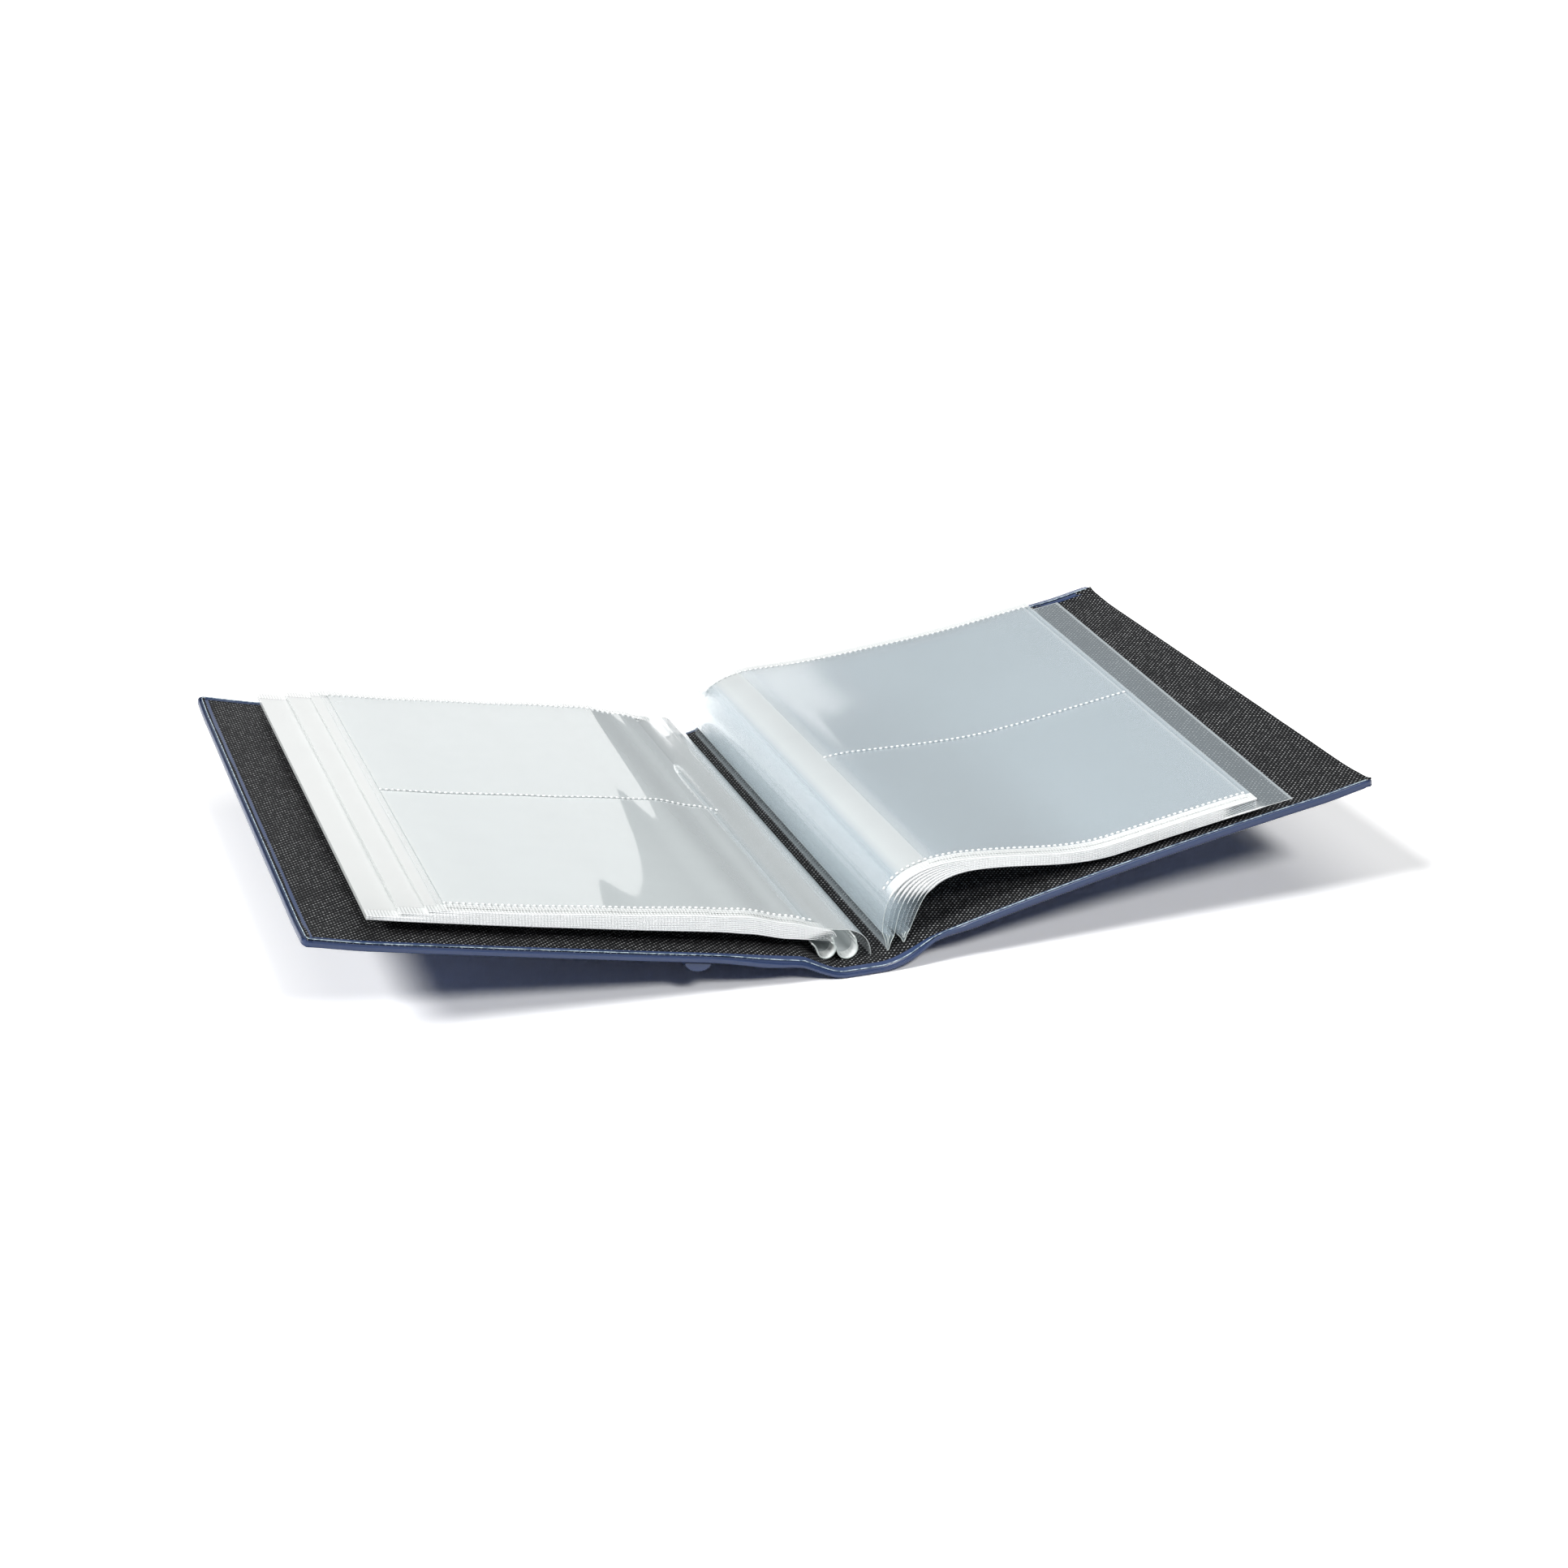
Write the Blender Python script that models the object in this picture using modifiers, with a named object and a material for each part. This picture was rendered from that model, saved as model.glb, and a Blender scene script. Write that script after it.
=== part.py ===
# Postcard album lying open on its spine.
# +X runs to the back cover, -X to the front cover, +Y along the spine, +Z up.
# The origin is on the spine's flat underside, midway between the two hinges.

import bmesh
import bpy
from math import cos, hypot, pi, radians, sin, sqrt

MM = 0.001

# Covers
COVER_HEIGHT = 240 * MM
COVER_WIDTH = 174.5 * MM
FRONT_TILT = radians(10.8)
BACK_TILT = radians(12)
# a bow hollows the cover's inner face, and one below zero crowns it
FRONT_BOW = 0.4 * MM
BACK_BOW = -2.2 * MM
SKIN = 0.8 * MM
BOARD = 1.5 * MM
LINING = 0.6 * MM
CLEARANCE = 0.3 * MM
RIM_WIDTH = 2.2 * MM
RIM_PROUD = 0.2 * MM
RIM_ROUND = 0.9 * MM
BOARD_SETBACK = 9 * MM
BOARD_MARGIN = 8 * MM
HINGE_TAPER = 8 * MM
HINGE_GAP = 0.6 * MM
RIB_OFFSET = 38 * MM
RIB_WIDTH = 11 * MM
RIB_HEIGHT = 3 * MM

# Spine
SPINE_WIDTH = 48.2 * MM
SPINE_FLAT = 13 * MM
SPINE_FLAT_SHIFT = -2.5 * MM
HINGE_RISE = 9.5 * MM
SPINE_CARD = 0.8 * MM
CARD_SETBACK = 6 * MM

# Leaves on both sides
LEAF_HEIGHT = 222 * MM
LEAF_FILM = 0.3 * MM
POCKET_FILM = 0.2 * MM
POCKET_GAP = 0.3 * MM
WELD_MARGIN = 2.5 * MM
WELD_WIDTH = 3 * MM
FOLD_CLEARANCE = 0.6 * MM

# Leaves on the left, lying on the front cover
LEFT_COUNT = 9
LEFT_REACHES = (129 * MM, 133 * MM, 142 * MM, 153 * MM)
LEFT_GROUPS = (1, 3, 6)
LEFT_LIFT = 5 * MM
LEFT_FAN_GAP = 0.42 * MM
LEFT_GATHER_LIFT = 5.2 * MM
LEFT_GATHER_GAP = 0.26 * MM
LEFT_FAN_LENGTH = 60 * MM
LEFT_PIVOT_BACK = 13 * MM
LEFT_MOUTH_BACK = 4 * MM
LOOP_START = -16.4 * MM
LOOP_RADII = (3.2 * MM, 3.7 * MM)
LOOP_GAP = 0.6 * MM
STRIP_FOOT = 3.4 * MM
STRIP_UPRIGHT = 0.5
STRIP_LEVEL = 0.45

# Leaves on the right, arching over the gutter on to the back cover
RIGHT_COUNT = 8
RIGHT_RISER = 7.6 * MM
RIGHT_RISER_GAP = 1.18 * MM
RIGHT_PIVOT_RISE = 15.5 * MM
RIGHT_PIVOT_MARGIN = 3.8 * MM
CREST_RISE = 27.8 * MM
TOP_CREST_RADIUS = 30.4 * MM
LOW_CREST_RADIUS = 27 * MM
RISER_UPRIGHT = 0.7
RISER_LEAN = 0.2
CREST_LEVEL = 0.75
TOP_FOLD_SHARE = 0.62
TOP_MOUTH_SHARE = 0.72
PAGE_GAP = 0.28 * MM
NEAR_LANDING = 78 * MM
NEAR_LIFT = 2.6 * MM
FAR_LANDING = 112 * MM
FAR_LIFT = 5 * MM
BRIDGE_PULL = 0.33
TOP_REACH = 133 * MM
LOW_REACH = 148 * MM
PAGE_TURN = radians(2.2)
PAGE_SLOPE = 0.2
FOLD_RISE = 0.5 * MM
FOLD_NEST = 1.6 * MM

# Steps along the curved sections
COVER_STEPS = 9
LAYER_STEPS = 12
SPINE_STEPS = 25
TAPER_STEPS = 4
FAN_STEPS = 6
ARC_STEPS = 9
PAGE_STEPS = 12
DENSE_STEPS = 20
LOOP_SIDES = 16
ROUND_STEPS = 2
ROUND_ANGLE = radians(50)

# Values that follow from the ones above
COVER_THICK = SKIN + BOARD + LINING + 2 * CLEARANCE
HINGE_THICK = SKIN + LINING + CLEARANCE
SPINE_STACK = SKIN + SPINE_CARD + LINING + 2 * CLEARANCE
SPINE_HALF = SPINE_WIDTH / 2 - HINGE_GAP
CARD_HALF = SPINE_HALF - CARD_SETBACK
HALF_LEAF = LEAF_HEIGHT / 2
LEFT_PITCH = LEAF_FILM + LEFT_FAN_GAP
LEFT_GATHER_PITCH = LEAF_FILM + LEFT_GATHER_GAP
LEFT_GATHER_HALF = (LEFT_COUNT - 1) * LEFT_GATHER_PITCH / 2
LEFT_PIVOT_RADIUS = LEFT_GATHER_HALF + LEAF_FILM
RIGHT_RISER_STEP = LEAF_FILM + RIGHT_RISER_GAP
RIGHT_RISER_HALF = (RIGHT_COUNT - 1) * RIGHT_RISER_STEP / 2
RIGHT_PIVOT_RADIUS = RIGHT_RISER_HALF + RIGHT_PIVOT_MARGIN
PAGE_PITCH = LEAF_FILM + PAGE_GAP
FRONT = -1
BACK = 1
TILTS = {FRONT: FRONT_TILT, BACK: BACK_TILT}
BOWS = {FRONT: FRONT_BOW, BACK: BACK_BOW}
NEAR = -1
FAR = 1
LANDINGS = {NEAR: NEAR_LANDING, FAR: FAR_LANDING}
LIFTS = {NEAR: NEAR_LIFT, FAR: FAR_LIFT}


def clear_scene():
    for obj in list(bpy.data.objects):
        bpy.data.objects.remove(obj, do_unlink=True)


def make_collection(name):
    collection = bpy.data.collections.new(name)
    bpy.context.scene.collection.children.link(collection)
    return collection


def make_material(name, color, roughness, alpha=1.0):
    material = bpy.data.materials.new(name)
    material.use_nodes = True
    shader = material.node_tree.nodes["Principled BSDF"]
    shader.inputs["Base Color"].default_value = (*color, 1.0)
    shader.inputs["Roughness"].default_value = roughness
    shader.inputs["Alpha"].default_value = alpha
    return material


def smooth(value):
    value = min(max(value, 0.0), 1.0)
    return value * value * (3 - 2 * value)


def mix(a, b, share):
    return a + (b - a) * share


def spread(first, last, count):
    return [mix(first, last, i / (count - 1)) for i in range(count)]


def bezier(p0, p1, p2, p3, shares):
    points = []
    for t in shares:
        a, b, c, d = (1 - t) ** 3, 3 * t * (1 - t) ** 2, 3 * t * t * (1 - t), t ** 3
        points.append(tuple(a * i + b * j + c * k + d * m for i, j, k, m in zip(p0, p1, p2, p3)))
    return points


# Points of a section, as (x, z)

def cover_point(side, along, above):
    # along runs from the hinge to the fore-edge, above is measured from the lining's face
    tilt = TILTS[side]
    share = min(max(along / COVER_WIDTH, 0.0), 1.0)
    height = above - 4 * BOWS[side] * share * (1 - share)
    x = side * (SPINE_WIDTH / 2 + along * cos(tilt) - height * sin(tilt))
    return x, HINGE_RISE + along * sin(tilt) + height * cos(tilt)


def cover_depth(along):
    return mix(HINGE_THICK, COVER_THICK, smooth((along - HINGE_GAP) / HINGE_TAPER))


def spine_height(x, depth):
    # height of a layer that lies depth below the lining's face at the hinge, and is flat in the middle
    flat_end = SPINE_FLAT_SHIFT + (SPINE_FLAT / 2 if x > SPINE_FLAT_SHIFT else -SPINE_FLAT / 2)
    hinge = SPINE_WIDTH / 2 if x > SPINE_FLAT_SHIFT else -SPINE_WIDTH / 2
    share = min(max((x - flat_end) / (hinge - flat_end), 0.0), 1.0)
    bend = share * share * (2 - share)
    return SPINE_STACK - depth + bend * (HINGE_RISE - SPINE_STACK)


def lining_top(x):
    return spine_height(x, 0.0)


def left_height(index, along):
    rank = LEFT_COUNT - 1 - index
    fanned = LEFT_LIFT + rank * LEFT_PITCH
    gathered = LEFT_GATHER_LIFT + rank * LEFT_GATHER_PITCH
    return mix(gathered, fanned, smooth(along / LEFT_FAN_LENGTH))


def left_pivot_height():
    return LEFT_GATHER_LIFT + LEFT_GATHER_HALF


def left_pivot():
    return cover_point(FRONT, -LEFT_PIVOT_BACK, left_pivot_height())


def left_end(index):
    # the leaves end on a circle about their common pivot
    rise = left_height(index, 0.0) - left_pivot_height()
    return -LEFT_PIVOT_BACK + sqrt(LEFT_PIVOT_RADIUS ** 2 - rise ** 2)


def left_reach(index):
    group = sum(index >= start for start in LEFT_GROUPS)
    return LEFT_REACHES[group]


def left_path(index, start, end, above=0.0):
    stops = spread(0.0, LEFT_FAN_LENGTH, FAN_STEPS + 1) + [(LEFT_FAN_LENGTH + end) / 2]
    stops = [start] + [stop for stop in stops if start < stop < end] + [end]
    return [cover_point(FRONT, stop, left_height(index, stop) + above) for stop in stops]


def right_pivot():
    return RIGHT_RISER + RIGHT_RISER_HALF, SPINE_STACK + RIGHT_PIVOT_RISE


def right_end(index, below=0.0):
    # the risers end on the lower half of a circle about the leaves' common pivot
    x = RIGHT_RISER + index * RIGHT_RISER_STEP
    pivot_x, pivot_z = right_pivot()
    return x, pivot_z - sqrt((RIGHT_PIVOT_RADIUS + below) ** 2 - (x - pivot_x) ** 2)


def right_share(index):
    return index / (RIGHT_COUNT - 1)


def right_rank(index):
    return RIGHT_COUNT - 1 - index


def right_crest(index):
    # where the arch ends and the page runs on towards the cover
    radius = mix(TOP_CREST_RADIUS, LOW_CREST_RADIUS, right_share(index))
    return right_end(index)[0] + radius, SPINE_STACK + CREST_RISE + right_rank(index) * PAGE_PITCH


def right_arch(index, start=0.0, stop=1.0):
    # from the riser's end up to the crest, or a part of that way
    end_x, end_z = right_end(index)
    crest_x, crest_z = right_crest(index)
    lean = RISER_LEAN * right_share(index)
    low_pull = (mix(end_x, crest_x, lean), mix(end_z, crest_z, RISER_UPRIGHT))
    high_pull = (mix(crest_x, end_x, CREST_LEVEL), crest_z)
    return bezier((end_x, end_z), low_pull, high_pull, (crest_x, crest_z), spread(start, stop, ARC_STEPS))


def top_fold():
    # the top leaf's own fold, on its arch
    return right_arch(0, 0.0, TOP_FOLD_SHARE)[-1]


def right_fore(reach):
    return cover_point(BACK, reach, NEAR_LIFT)[0]


def height_at(path, x):
    for (x0, z0), (x1, z1) in zip(path, path[1:]):
        if x <= x1:
            break
    return mix(z0, z1, (x - x0) / (x1 - x0))


def right_page(index, end, short=0.0):
    # from the crest down towards the cover, which the page then follows to its fore-edge
    crest_x, crest_z = right_crest(index)
    lift = LIFTS[end] + right_rank(index) * PAGE_PITCH
    landing = LANDINGS[end]
    land_x, land_z = cover_point(BACK, landing, lift)
    pull = (land_x - crest_x) * BRIDGE_PULL
    bridge = bezier((crest_x, crest_z), (crest_x + pull, crest_z), cover_point(BACK, landing - pull, lift),
                    (land_x, land_z), spread(0.0, 1.0, DENSE_STEPS))
    landed = [cover_point(BACK, along, lift) for along in spread(landing, LOW_REACH, DENSE_STEPS)]
    stops = spread(crest_x, right_fore(TOP_REACH) - short, PAGE_STEPS)
    if right_rank(index) == 0:
        # the lowest leaf is longer than the others
        stops.append(right_fore(LOW_REACH))
    return [(x, height_at(bridge + landed[1:], x)) for x in stops]


def turn_page(x, y, z):
    # the pages on the right lie askew: each runs further out at its far end, and shifts to the near side
    start = right_crest(0)[0]
    out = max(x - start, 0.0)
    shift = y * PAGE_TURN * out / (right_fore(LOW_REACH) - start)
    return x + shift, y - PAGE_TURN * out, z + shift * PAGE_SLOPE


def offset_path(path, above):
    # moves a section's points along their normals, to the left of their direction
    moved = []
    for i, point in enumerate(path):
        before = path[max(i - 1, 0)]
        after = path[min(i + 1, len(path) - 1)]
        dx, dz = after[0] - before[0], after[1] - before[1]
        length = hypot(dx, dz)
        moved.append((point[0] - dz / length * above, point[1] + dx / length * above))
    return moved


# Solids

def add_object(name, mesh, material, collection):
    obj = bpy.data.objects.new(name, mesh)
    collection.objects.link(obj)
    mesh.materials.append(material)
    return obj


def sheet(name, near, far, y_low, y_high, thickness, material, closed=False, turned=False):
    # a line drawn out along Y, from a leaf's near section to its far one, and given its thickness
    rows = []
    for y in (y_low, y_high):
        share = (y + HALF_LEAF) / LEAF_HEIGHT
        row = [(mix(a[0], b[0], share), y, mix(a[1], b[1], share)) for a, b in zip(near, far)]
        rows.append([turn_page(*point) for point in row] if turned else row)
    mesh = bpy.data.meshes.new(name)
    bm = bmesh.new()
    verts = [bm.verts.new(point) for point in rows[0]]
    pairs = list(zip(verts, verts[1:]))
    if closed:
        pairs.append((verts[-1], verts[0]))
    edges = [bm.edges.new(pair) for pair in pairs]
    drawn = bmesh.ops.extrude_edge_only(bm, edges=edges)["geom"]
    for vert in [item for item in drawn if isinstance(item, bmesh.types.BMVert)]:
        mates = [edge.other_vert(vert) for edge in vert.link_edges]
        mate = next(other for other in mates if other in verts)
        vert.co = rows[1][verts.index(mate)]
    bmesh.ops.recalc_face_normals(bm, faces=bm.faces)
    bm.to_mesh(mesh)
    bm.free()
    obj = add_object(name, mesh, material, album)
    solidify = obj.modifiers.new("thickness", "SOLIDIFY")
    solidify.thickness = thickness
    solidify.offset = 0.0
    solidify.use_even_offset = True
    return obj


def outline(name, points, height, material, collection):
    # a closed section in X and Z, drawn out to height along Y about the middle
    curve = bpy.data.curves.new(name, "CURVE")
    curve.dimensions = "2D"
    curve.fill_mode = "BOTH"
    curve.extrude = height / 2
    spline = curve.splines.new("POLY")
    spline.points.add(len(points) - 1)
    for target, (x, z) in zip(spline.points, points):
        target.co = (x, z, 0.0, 1.0)
    spline.use_cyclic_u = True
    drawn = bpy.data.objects.new(name + "_outline", curve)
    drawn.rotation_euler = (pi / 2, 0.0, 0.0)
    bpy.context.scene.collection.objects.link(drawn)
    bpy.context.view_layer.update()
    graph = bpy.context.evaluated_depsgraph_get()
    mesh = bpy.data.meshes.new_from_object(drawn.evaluated_get(graph))
    mesh.transform(drawn.matrix_world)
    mesh.name = name
    bpy.data.objects.remove(drawn, do_unlink=True)
    bm = bmesh.new()
    bm.from_mesh(mesh)
    bmesh.ops.remove_doubles(bm, verts=bm.verts, dist=1e-6)
    bmesh.ops.recalc_face_normals(bm, faces=bm.faces)
    bm.to_mesh(mesh)
    bm.free()
    return add_object(name, mesh, material, collection)


def combine(obj, tool, operation):
    tool.hide_render = True
    tool.display_type = "WIRE"
    modifier = obj.modifiers.new(operation.lower(), "BOOLEAN")
    modifier.operation = operation
    modifier.object = tool
    return modifier


def round_edges(obj, width):
    bevel = obj.modifiers.new("rounded", "BEVEL")
    bevel.width = width
    bevel.segments = ROUND_STEPS
    bevel.limit_method = "ANGLE"
    bevel.angle_limit = ROUND_ANGLE


def add_hinge(name, point, parent=None):
    # an empty on a joint's axis, which runs along Y
    hinge = bpy.data.objects.new(name, None)
    hinge.location = (point[0], 0.0, point[1])
    album.objects.link(hinge)
    if parent:
        carry(parent, [hinge])
    return hinge


def carry(hinge, pieces):
    # the pieces keep their places
    bpy.context.view_layer.update()
    for piece in pieces:
        piece.parent = hinge
        piece.matrix_parent_inverse = hinge.matrix_world.inverted()


# Covers

def layer_section(side, start, end, low, high):
    # closed section of a layer with parallel faces
    stops = spread(start, end, LAYER_STEPS)
    lower = [cover_point(side, stop, low) for stop in stops]
    upper = [cover_point(side, stop, high) for stop in stops]
    return lower + upper[::-1]


def skin_stops(end):
    taper_end = HINGE_GAP + HINGE_TAPER
    return spread(HINGE_GAP, taper_end, TAPER_STEPS + 1)[:-1] + spread(taper_end, end, COVER_STEPS)


def make_skin(side, name, material):
    stops = skin_stops(COVER_WIDTH)
    lower = [cover_point(side, stop, -cover_depth(stop)) for stop in stops]
    upper = [cover_point(side, stop, RIM_PROUD) for stop in stops]
    skin = outline(name, lower + upper[::-1], COVER_HEIGHT, material, album)
    round_edges(skin, RIM_ROUND)
    stops = [HINGE_GAP - HINGE_TAPER] + skin_stops(COVER_WIDTH - RIM_WIDTH)
    floor = [cover_point(side, stop, SKIN - cover_depth(stop)) for stop in stops]
    above = [cover_point(side, stop, COVER_THICK) for stop in stops]
    height = COVER_HEIGHT - 2 * RIM_WIDTH
    cutter = outline(name + "_tray_cutter", floor + above[::-1], height, material, cutters)
    combine(skin, cutter, "DIFFERENCE")
    return skin


def make_rib(skin, material):
    # a half-round rib pressed into the front cover's outer film, parallel to the spine
    turns = spread(0.0, pi, ARC_STEPS)
    low = [(RIB_OFFSET + cos(turn) * RIB_WIDTH / 2, -COVER_THICK - sin(turn) * RIB_HEIGHT)
           for turn in turns]
    inside = -COVER_THICK + SKIN / 2
    section = low + [(RIB_OFFSET - RIB_WIDTH / 2, inside), (RIB_OFFSET + RIB_WIDTH / 2, inside)]
    points = [cover_point(FRONT, along, above) for along, above in section]
    rib = outline("front_rib_form", points, COVER_HEIGHT - 2 * RIM_WIDTH, material, cutters)
    combine(skin, rib, "UNION")


def make_cover(side, prefix):
    skin = make_skin(side, prefix + "_skin", film_blue)
    inner_end = COVER_WIDTH - RIM_WIDTH - CLEARANCE
    inner_height = COVER_HEIGHT - 2 * (RIM_WIDTH + CLEARANCE)
    board_top = -LINING - CLEARANCE
    section = layer_section(side, BOARD_SETBACK, COVER_WIDTH - BOARD_MARGIN, board_top - BOARD, board_top)
    board = outline(prefix + "_board", section, COVER_HEIGHT - 2 * BOARD_MARGIN, grey_board, album)
    section = layer_section(side, HINGE_GAP, inner_end, -LINING, 0.0)
    lining = outline(prefix + "_lining", section, inner_height, film_black, album)
    return [skin, board, lining]


# Spine

def spine_depth(x):
    # the outer film closes up to the lining between the card and the hinges
    return mix(SPINE_STACK, HINGE_THICK, smooth((abs(x) - CARD_HALF) / CARD_SETBACK))


def make_spine_layer(name, half, height, low, high, material):
    stops = spread(-half, half, SPINE_STEPS)
    lower = [(x, spine_height(x, low(x))) for x in stops]
    upper = [(x, spine_height(x, high(x))) for x in stops]
    outline(name, lower + upper[::-1], height, material, album)


def make_spine():
    card_top = LINING + CLEARANCE
    make_spine_layer("spine_skin", SPINE_HALF, COVER_HEIGHT,
                     spine_depth, lambda x: spine_depth(x) - SKIN, film_blue)
    make_spine_layer("spine_card", CARD_HALF, COVER_HEIGHT - 2 * BOARD_MARGIN,
                     lambda x: card_top + SPINE_CARD, lambda x: card_top, grey_board)
    make_spine_layer("spine_lining", SPINE_HALF, COVER_HEIGHT - 2 * CLEARANCE,
                     lambda x: LINING, lambda x: 0.0, film_black)


# Folds of the leaves at the gutter

def make_loops():
    start = LOOP_START
    for number, radius in enumerate(LOOP_RADII, start=1):
        centre = start + radius
        turns = spread(0.0, 2 * pi, LOOP_SIDES + 1)[:-1]
        # lies on the lining, which rises to one side
        rest = max(lining_top(centre + radius * cos(t)) - radius * sin(t) for t in turns)
        height = rest + CLEARANCE + LEAF_FILM / 2
        ring = [(centre + radius * cos(t), height + radius * sin(t)) for t in turns]
        sheet(f"left_loop_{number}", ring, ring, -HALF_LEAF, HALF_LEAF, LEAF_FILM, film_clear, closed=True)
        start += 2 * radius + LEAF_FILM + LOOP_GAP


def make_root_strip():
    pivot_x, pivot_z = left_pivot()
    radius = LEFT_PIVOT_RADIUS + FOLD_CLEARANCE
    foot_z = lining_top(STRIP_FOOT) + CLEARANCE + LEAF_FILM / 2
    head_x, head_z = pivot_x + radius, pivot_z + radius / 2
    low_pull = (STRIP_FOOT, mix(foot_z, head_z, STRIP_UPRIGHT))
    high_pull = (mix(head_x, STRIP_FOOT, STRIP_LEVEL), head_z)
    shares = spread(0.0, 1.0, ARC_STEPS)
    path = bezier((STRIP_FOOT, foot_z), low_pull, high_pull, (head_x, head_z), shares)
    sheet("left_root_strip", path, path, -HALF_LEAF, HALF_LEAF, LEAF_FILM, film_clear)


def make_fold(number, first, last, nested):
    # a V whose arms end a clearance below the risers that they carry
    left = right_end(first, FOLD_CLEARANCE)
    right = right_end(last, FOLD_CLEARANCE)
    foot_x = (left[0] + right[0]) / 2
    foot_z = lining_top(foot_x) + FOLD_RISE + nested * FOLD_NEST
    path = [left, (foot_x - LEAF_FILM, foot_z), (foot_x + LEAF_FILM, foot_z), right]
    sheet(f"right_fold_{number}", path, path, -HALF_LEAF, HALF_LEAF, LEAF_FILM, film_clear)


def make_folds():
    # two groups of leaves, each with one fold inside another
    group = RIGHT_COUNT // 2
    number = 0
    for start in (0, group):
        for nested in range(group // 2):
            number += 1
            make_fold(number, start + nested, start + group - 1 - nested, nested)


# Leaves

def make_left_leaves():
    leaves = []
    for index in range(LEFT_COUNT):
        path = left_path(index, left_end(index), left_reach(index))
        name = f"left_leaf_{index + 1}"
        leaves.append(sheet(name, path, path, -HALF_LEAF, HALF_LEAF, LEAF_FILM, film_clear))
    return leaves


def make_top_root():
    # the top leaf on the right is in two parts, with a fold between them
    path = right_arch(0, 0.0, TOP_FOLD_SHARE)
    (last_x, last_z), (end_x, end_z) = path[-2:]
    back = FOLD_CLEARANCE / hypot(end_x - last_x, end_z - last_z)
    path[-1] = (mix(end_x, last_x, back), mix(end_z, last_z, back))
    return sheet("right_leaf_1_root", path, path, -HALF_LEAF, HALF_LEAF, LEAF_FILM, film_clear)


def make_right_leaves():
    leaves = []
    for index in range(RIGHT_COUNT):
        arch = right_arch(index, 0.0 if index else TOP_FOLD_SHARE)
        near, far = (arch + right_page(index, end)[1:] for end in (NEAR, FAR))
        name = f"right_leaf_{index + 1}"
        leaves.append(sheet(name, near, far, -HALF_LEAF, HALF_LEAF, LEAF_FILM, film_clear, turned=True))
    return leaves


def make_pockets(name, near, far, turned=False):
    # an upper and a lower pocket film, with the middle weld between them
    outer, middle = HALF_LEAF - WELD_MARGIN, WELD_WIDTH / 2
    lower = sheet(f"{name}_lower_pocket", near, far, -outer, -middle, POCKET_FILM, film_clear, turned=turned)
    upper = sheet(f"{name}_upper_pocket", near, far, middle, outer, POCKET_FILM, film_clear, turned=turned)
    return [lower, upper]


def right_pocket(end, above):
    # follows the top leaf from the pockets' mouth to the weld at the fore-edge
    path = right_arch(0, TOP_MOUTH_SHARE) + right_page(0, end, short=WELD_MARGIN)[1:]
    return offset_path(path, above)


clear_scene()
album = make_collection("postcard_album")
cutters = make_collection("cutters")

film_blue = make_material("blue_film", (0.022, 0.045, 0.125), 0.42)
film_black = make_material("black_lining", (0.012, 0.012, 0.013), 0.7)
grey_board = make_material("grey_board", (0.33, 0.31, 0.27), 0.9)
film_clear = make_material("clear_film", (0.86, 0.90, 0.92), 0.15, alpha=0.35)

make_spine()
make_loops()
make_root_strip()
make_folds()

front_cover = make_cover(FRONT, "front")
make_rib(front_cover[0], film_blue)
carry(add_hinge("front_hinge", (-SPINE_WIDTH / 2, HINGE_RISE)), front_cover)

back_cover = make_cover(BACK, "back")
carry(add_hinge("back_hinge", (SPINE_WIDTH / 2, HINGE_RISE)), back_cover)

pocket_lift = LEAF_FILM / 2 + POCKET_GAP + POCKET_FILM / 2
left_pocket = left_path(0, -LEFT_MOUTH_BACK, left_reach(0) - WELD_MARGIN, pocket_lift)
left_leaves = make_left_leaves() + make_pockets("left", left_pocket, left_pocket)
carry(add_hinge("left_leaves_hinge", left_pivot()), left_leaves)

right_leaves = make_right_leaves()
right_pockets = make_pockets("right", right_pocket(NEAR, pocket_lift), right_pocket(FAR, pocket_lift), turned=True)
right_hinge = add_hinge("right_leaves_hinge", right_pivot())
carry(right_hinge, right_leaves[3:])
third_hinge = add_hinge("right_leaf_3_hinge", right_end(2), right_hinge)
carry(third_hinge, right_leaves[2:3])
second_hinge = add_hinge("right_leaf_2_hinge", right_end(1), third_hinge)
carry(second_hinge, right_leaves[1:2])
root_hinge = add_hinge("right_leaf_1_root_hinge", right_end(0), second_hinge)
carry(root_hinge, [make_top_root()])
page_hinge = add_hinge("right_leaf_1_hinge", top_fold(), root_hinge)
carry(page_hinge, right_leaves[:1] + right_pockets)
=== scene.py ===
import bpy
from math import cos, pi, radians, sin, sqrt
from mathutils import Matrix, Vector, noise


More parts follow.
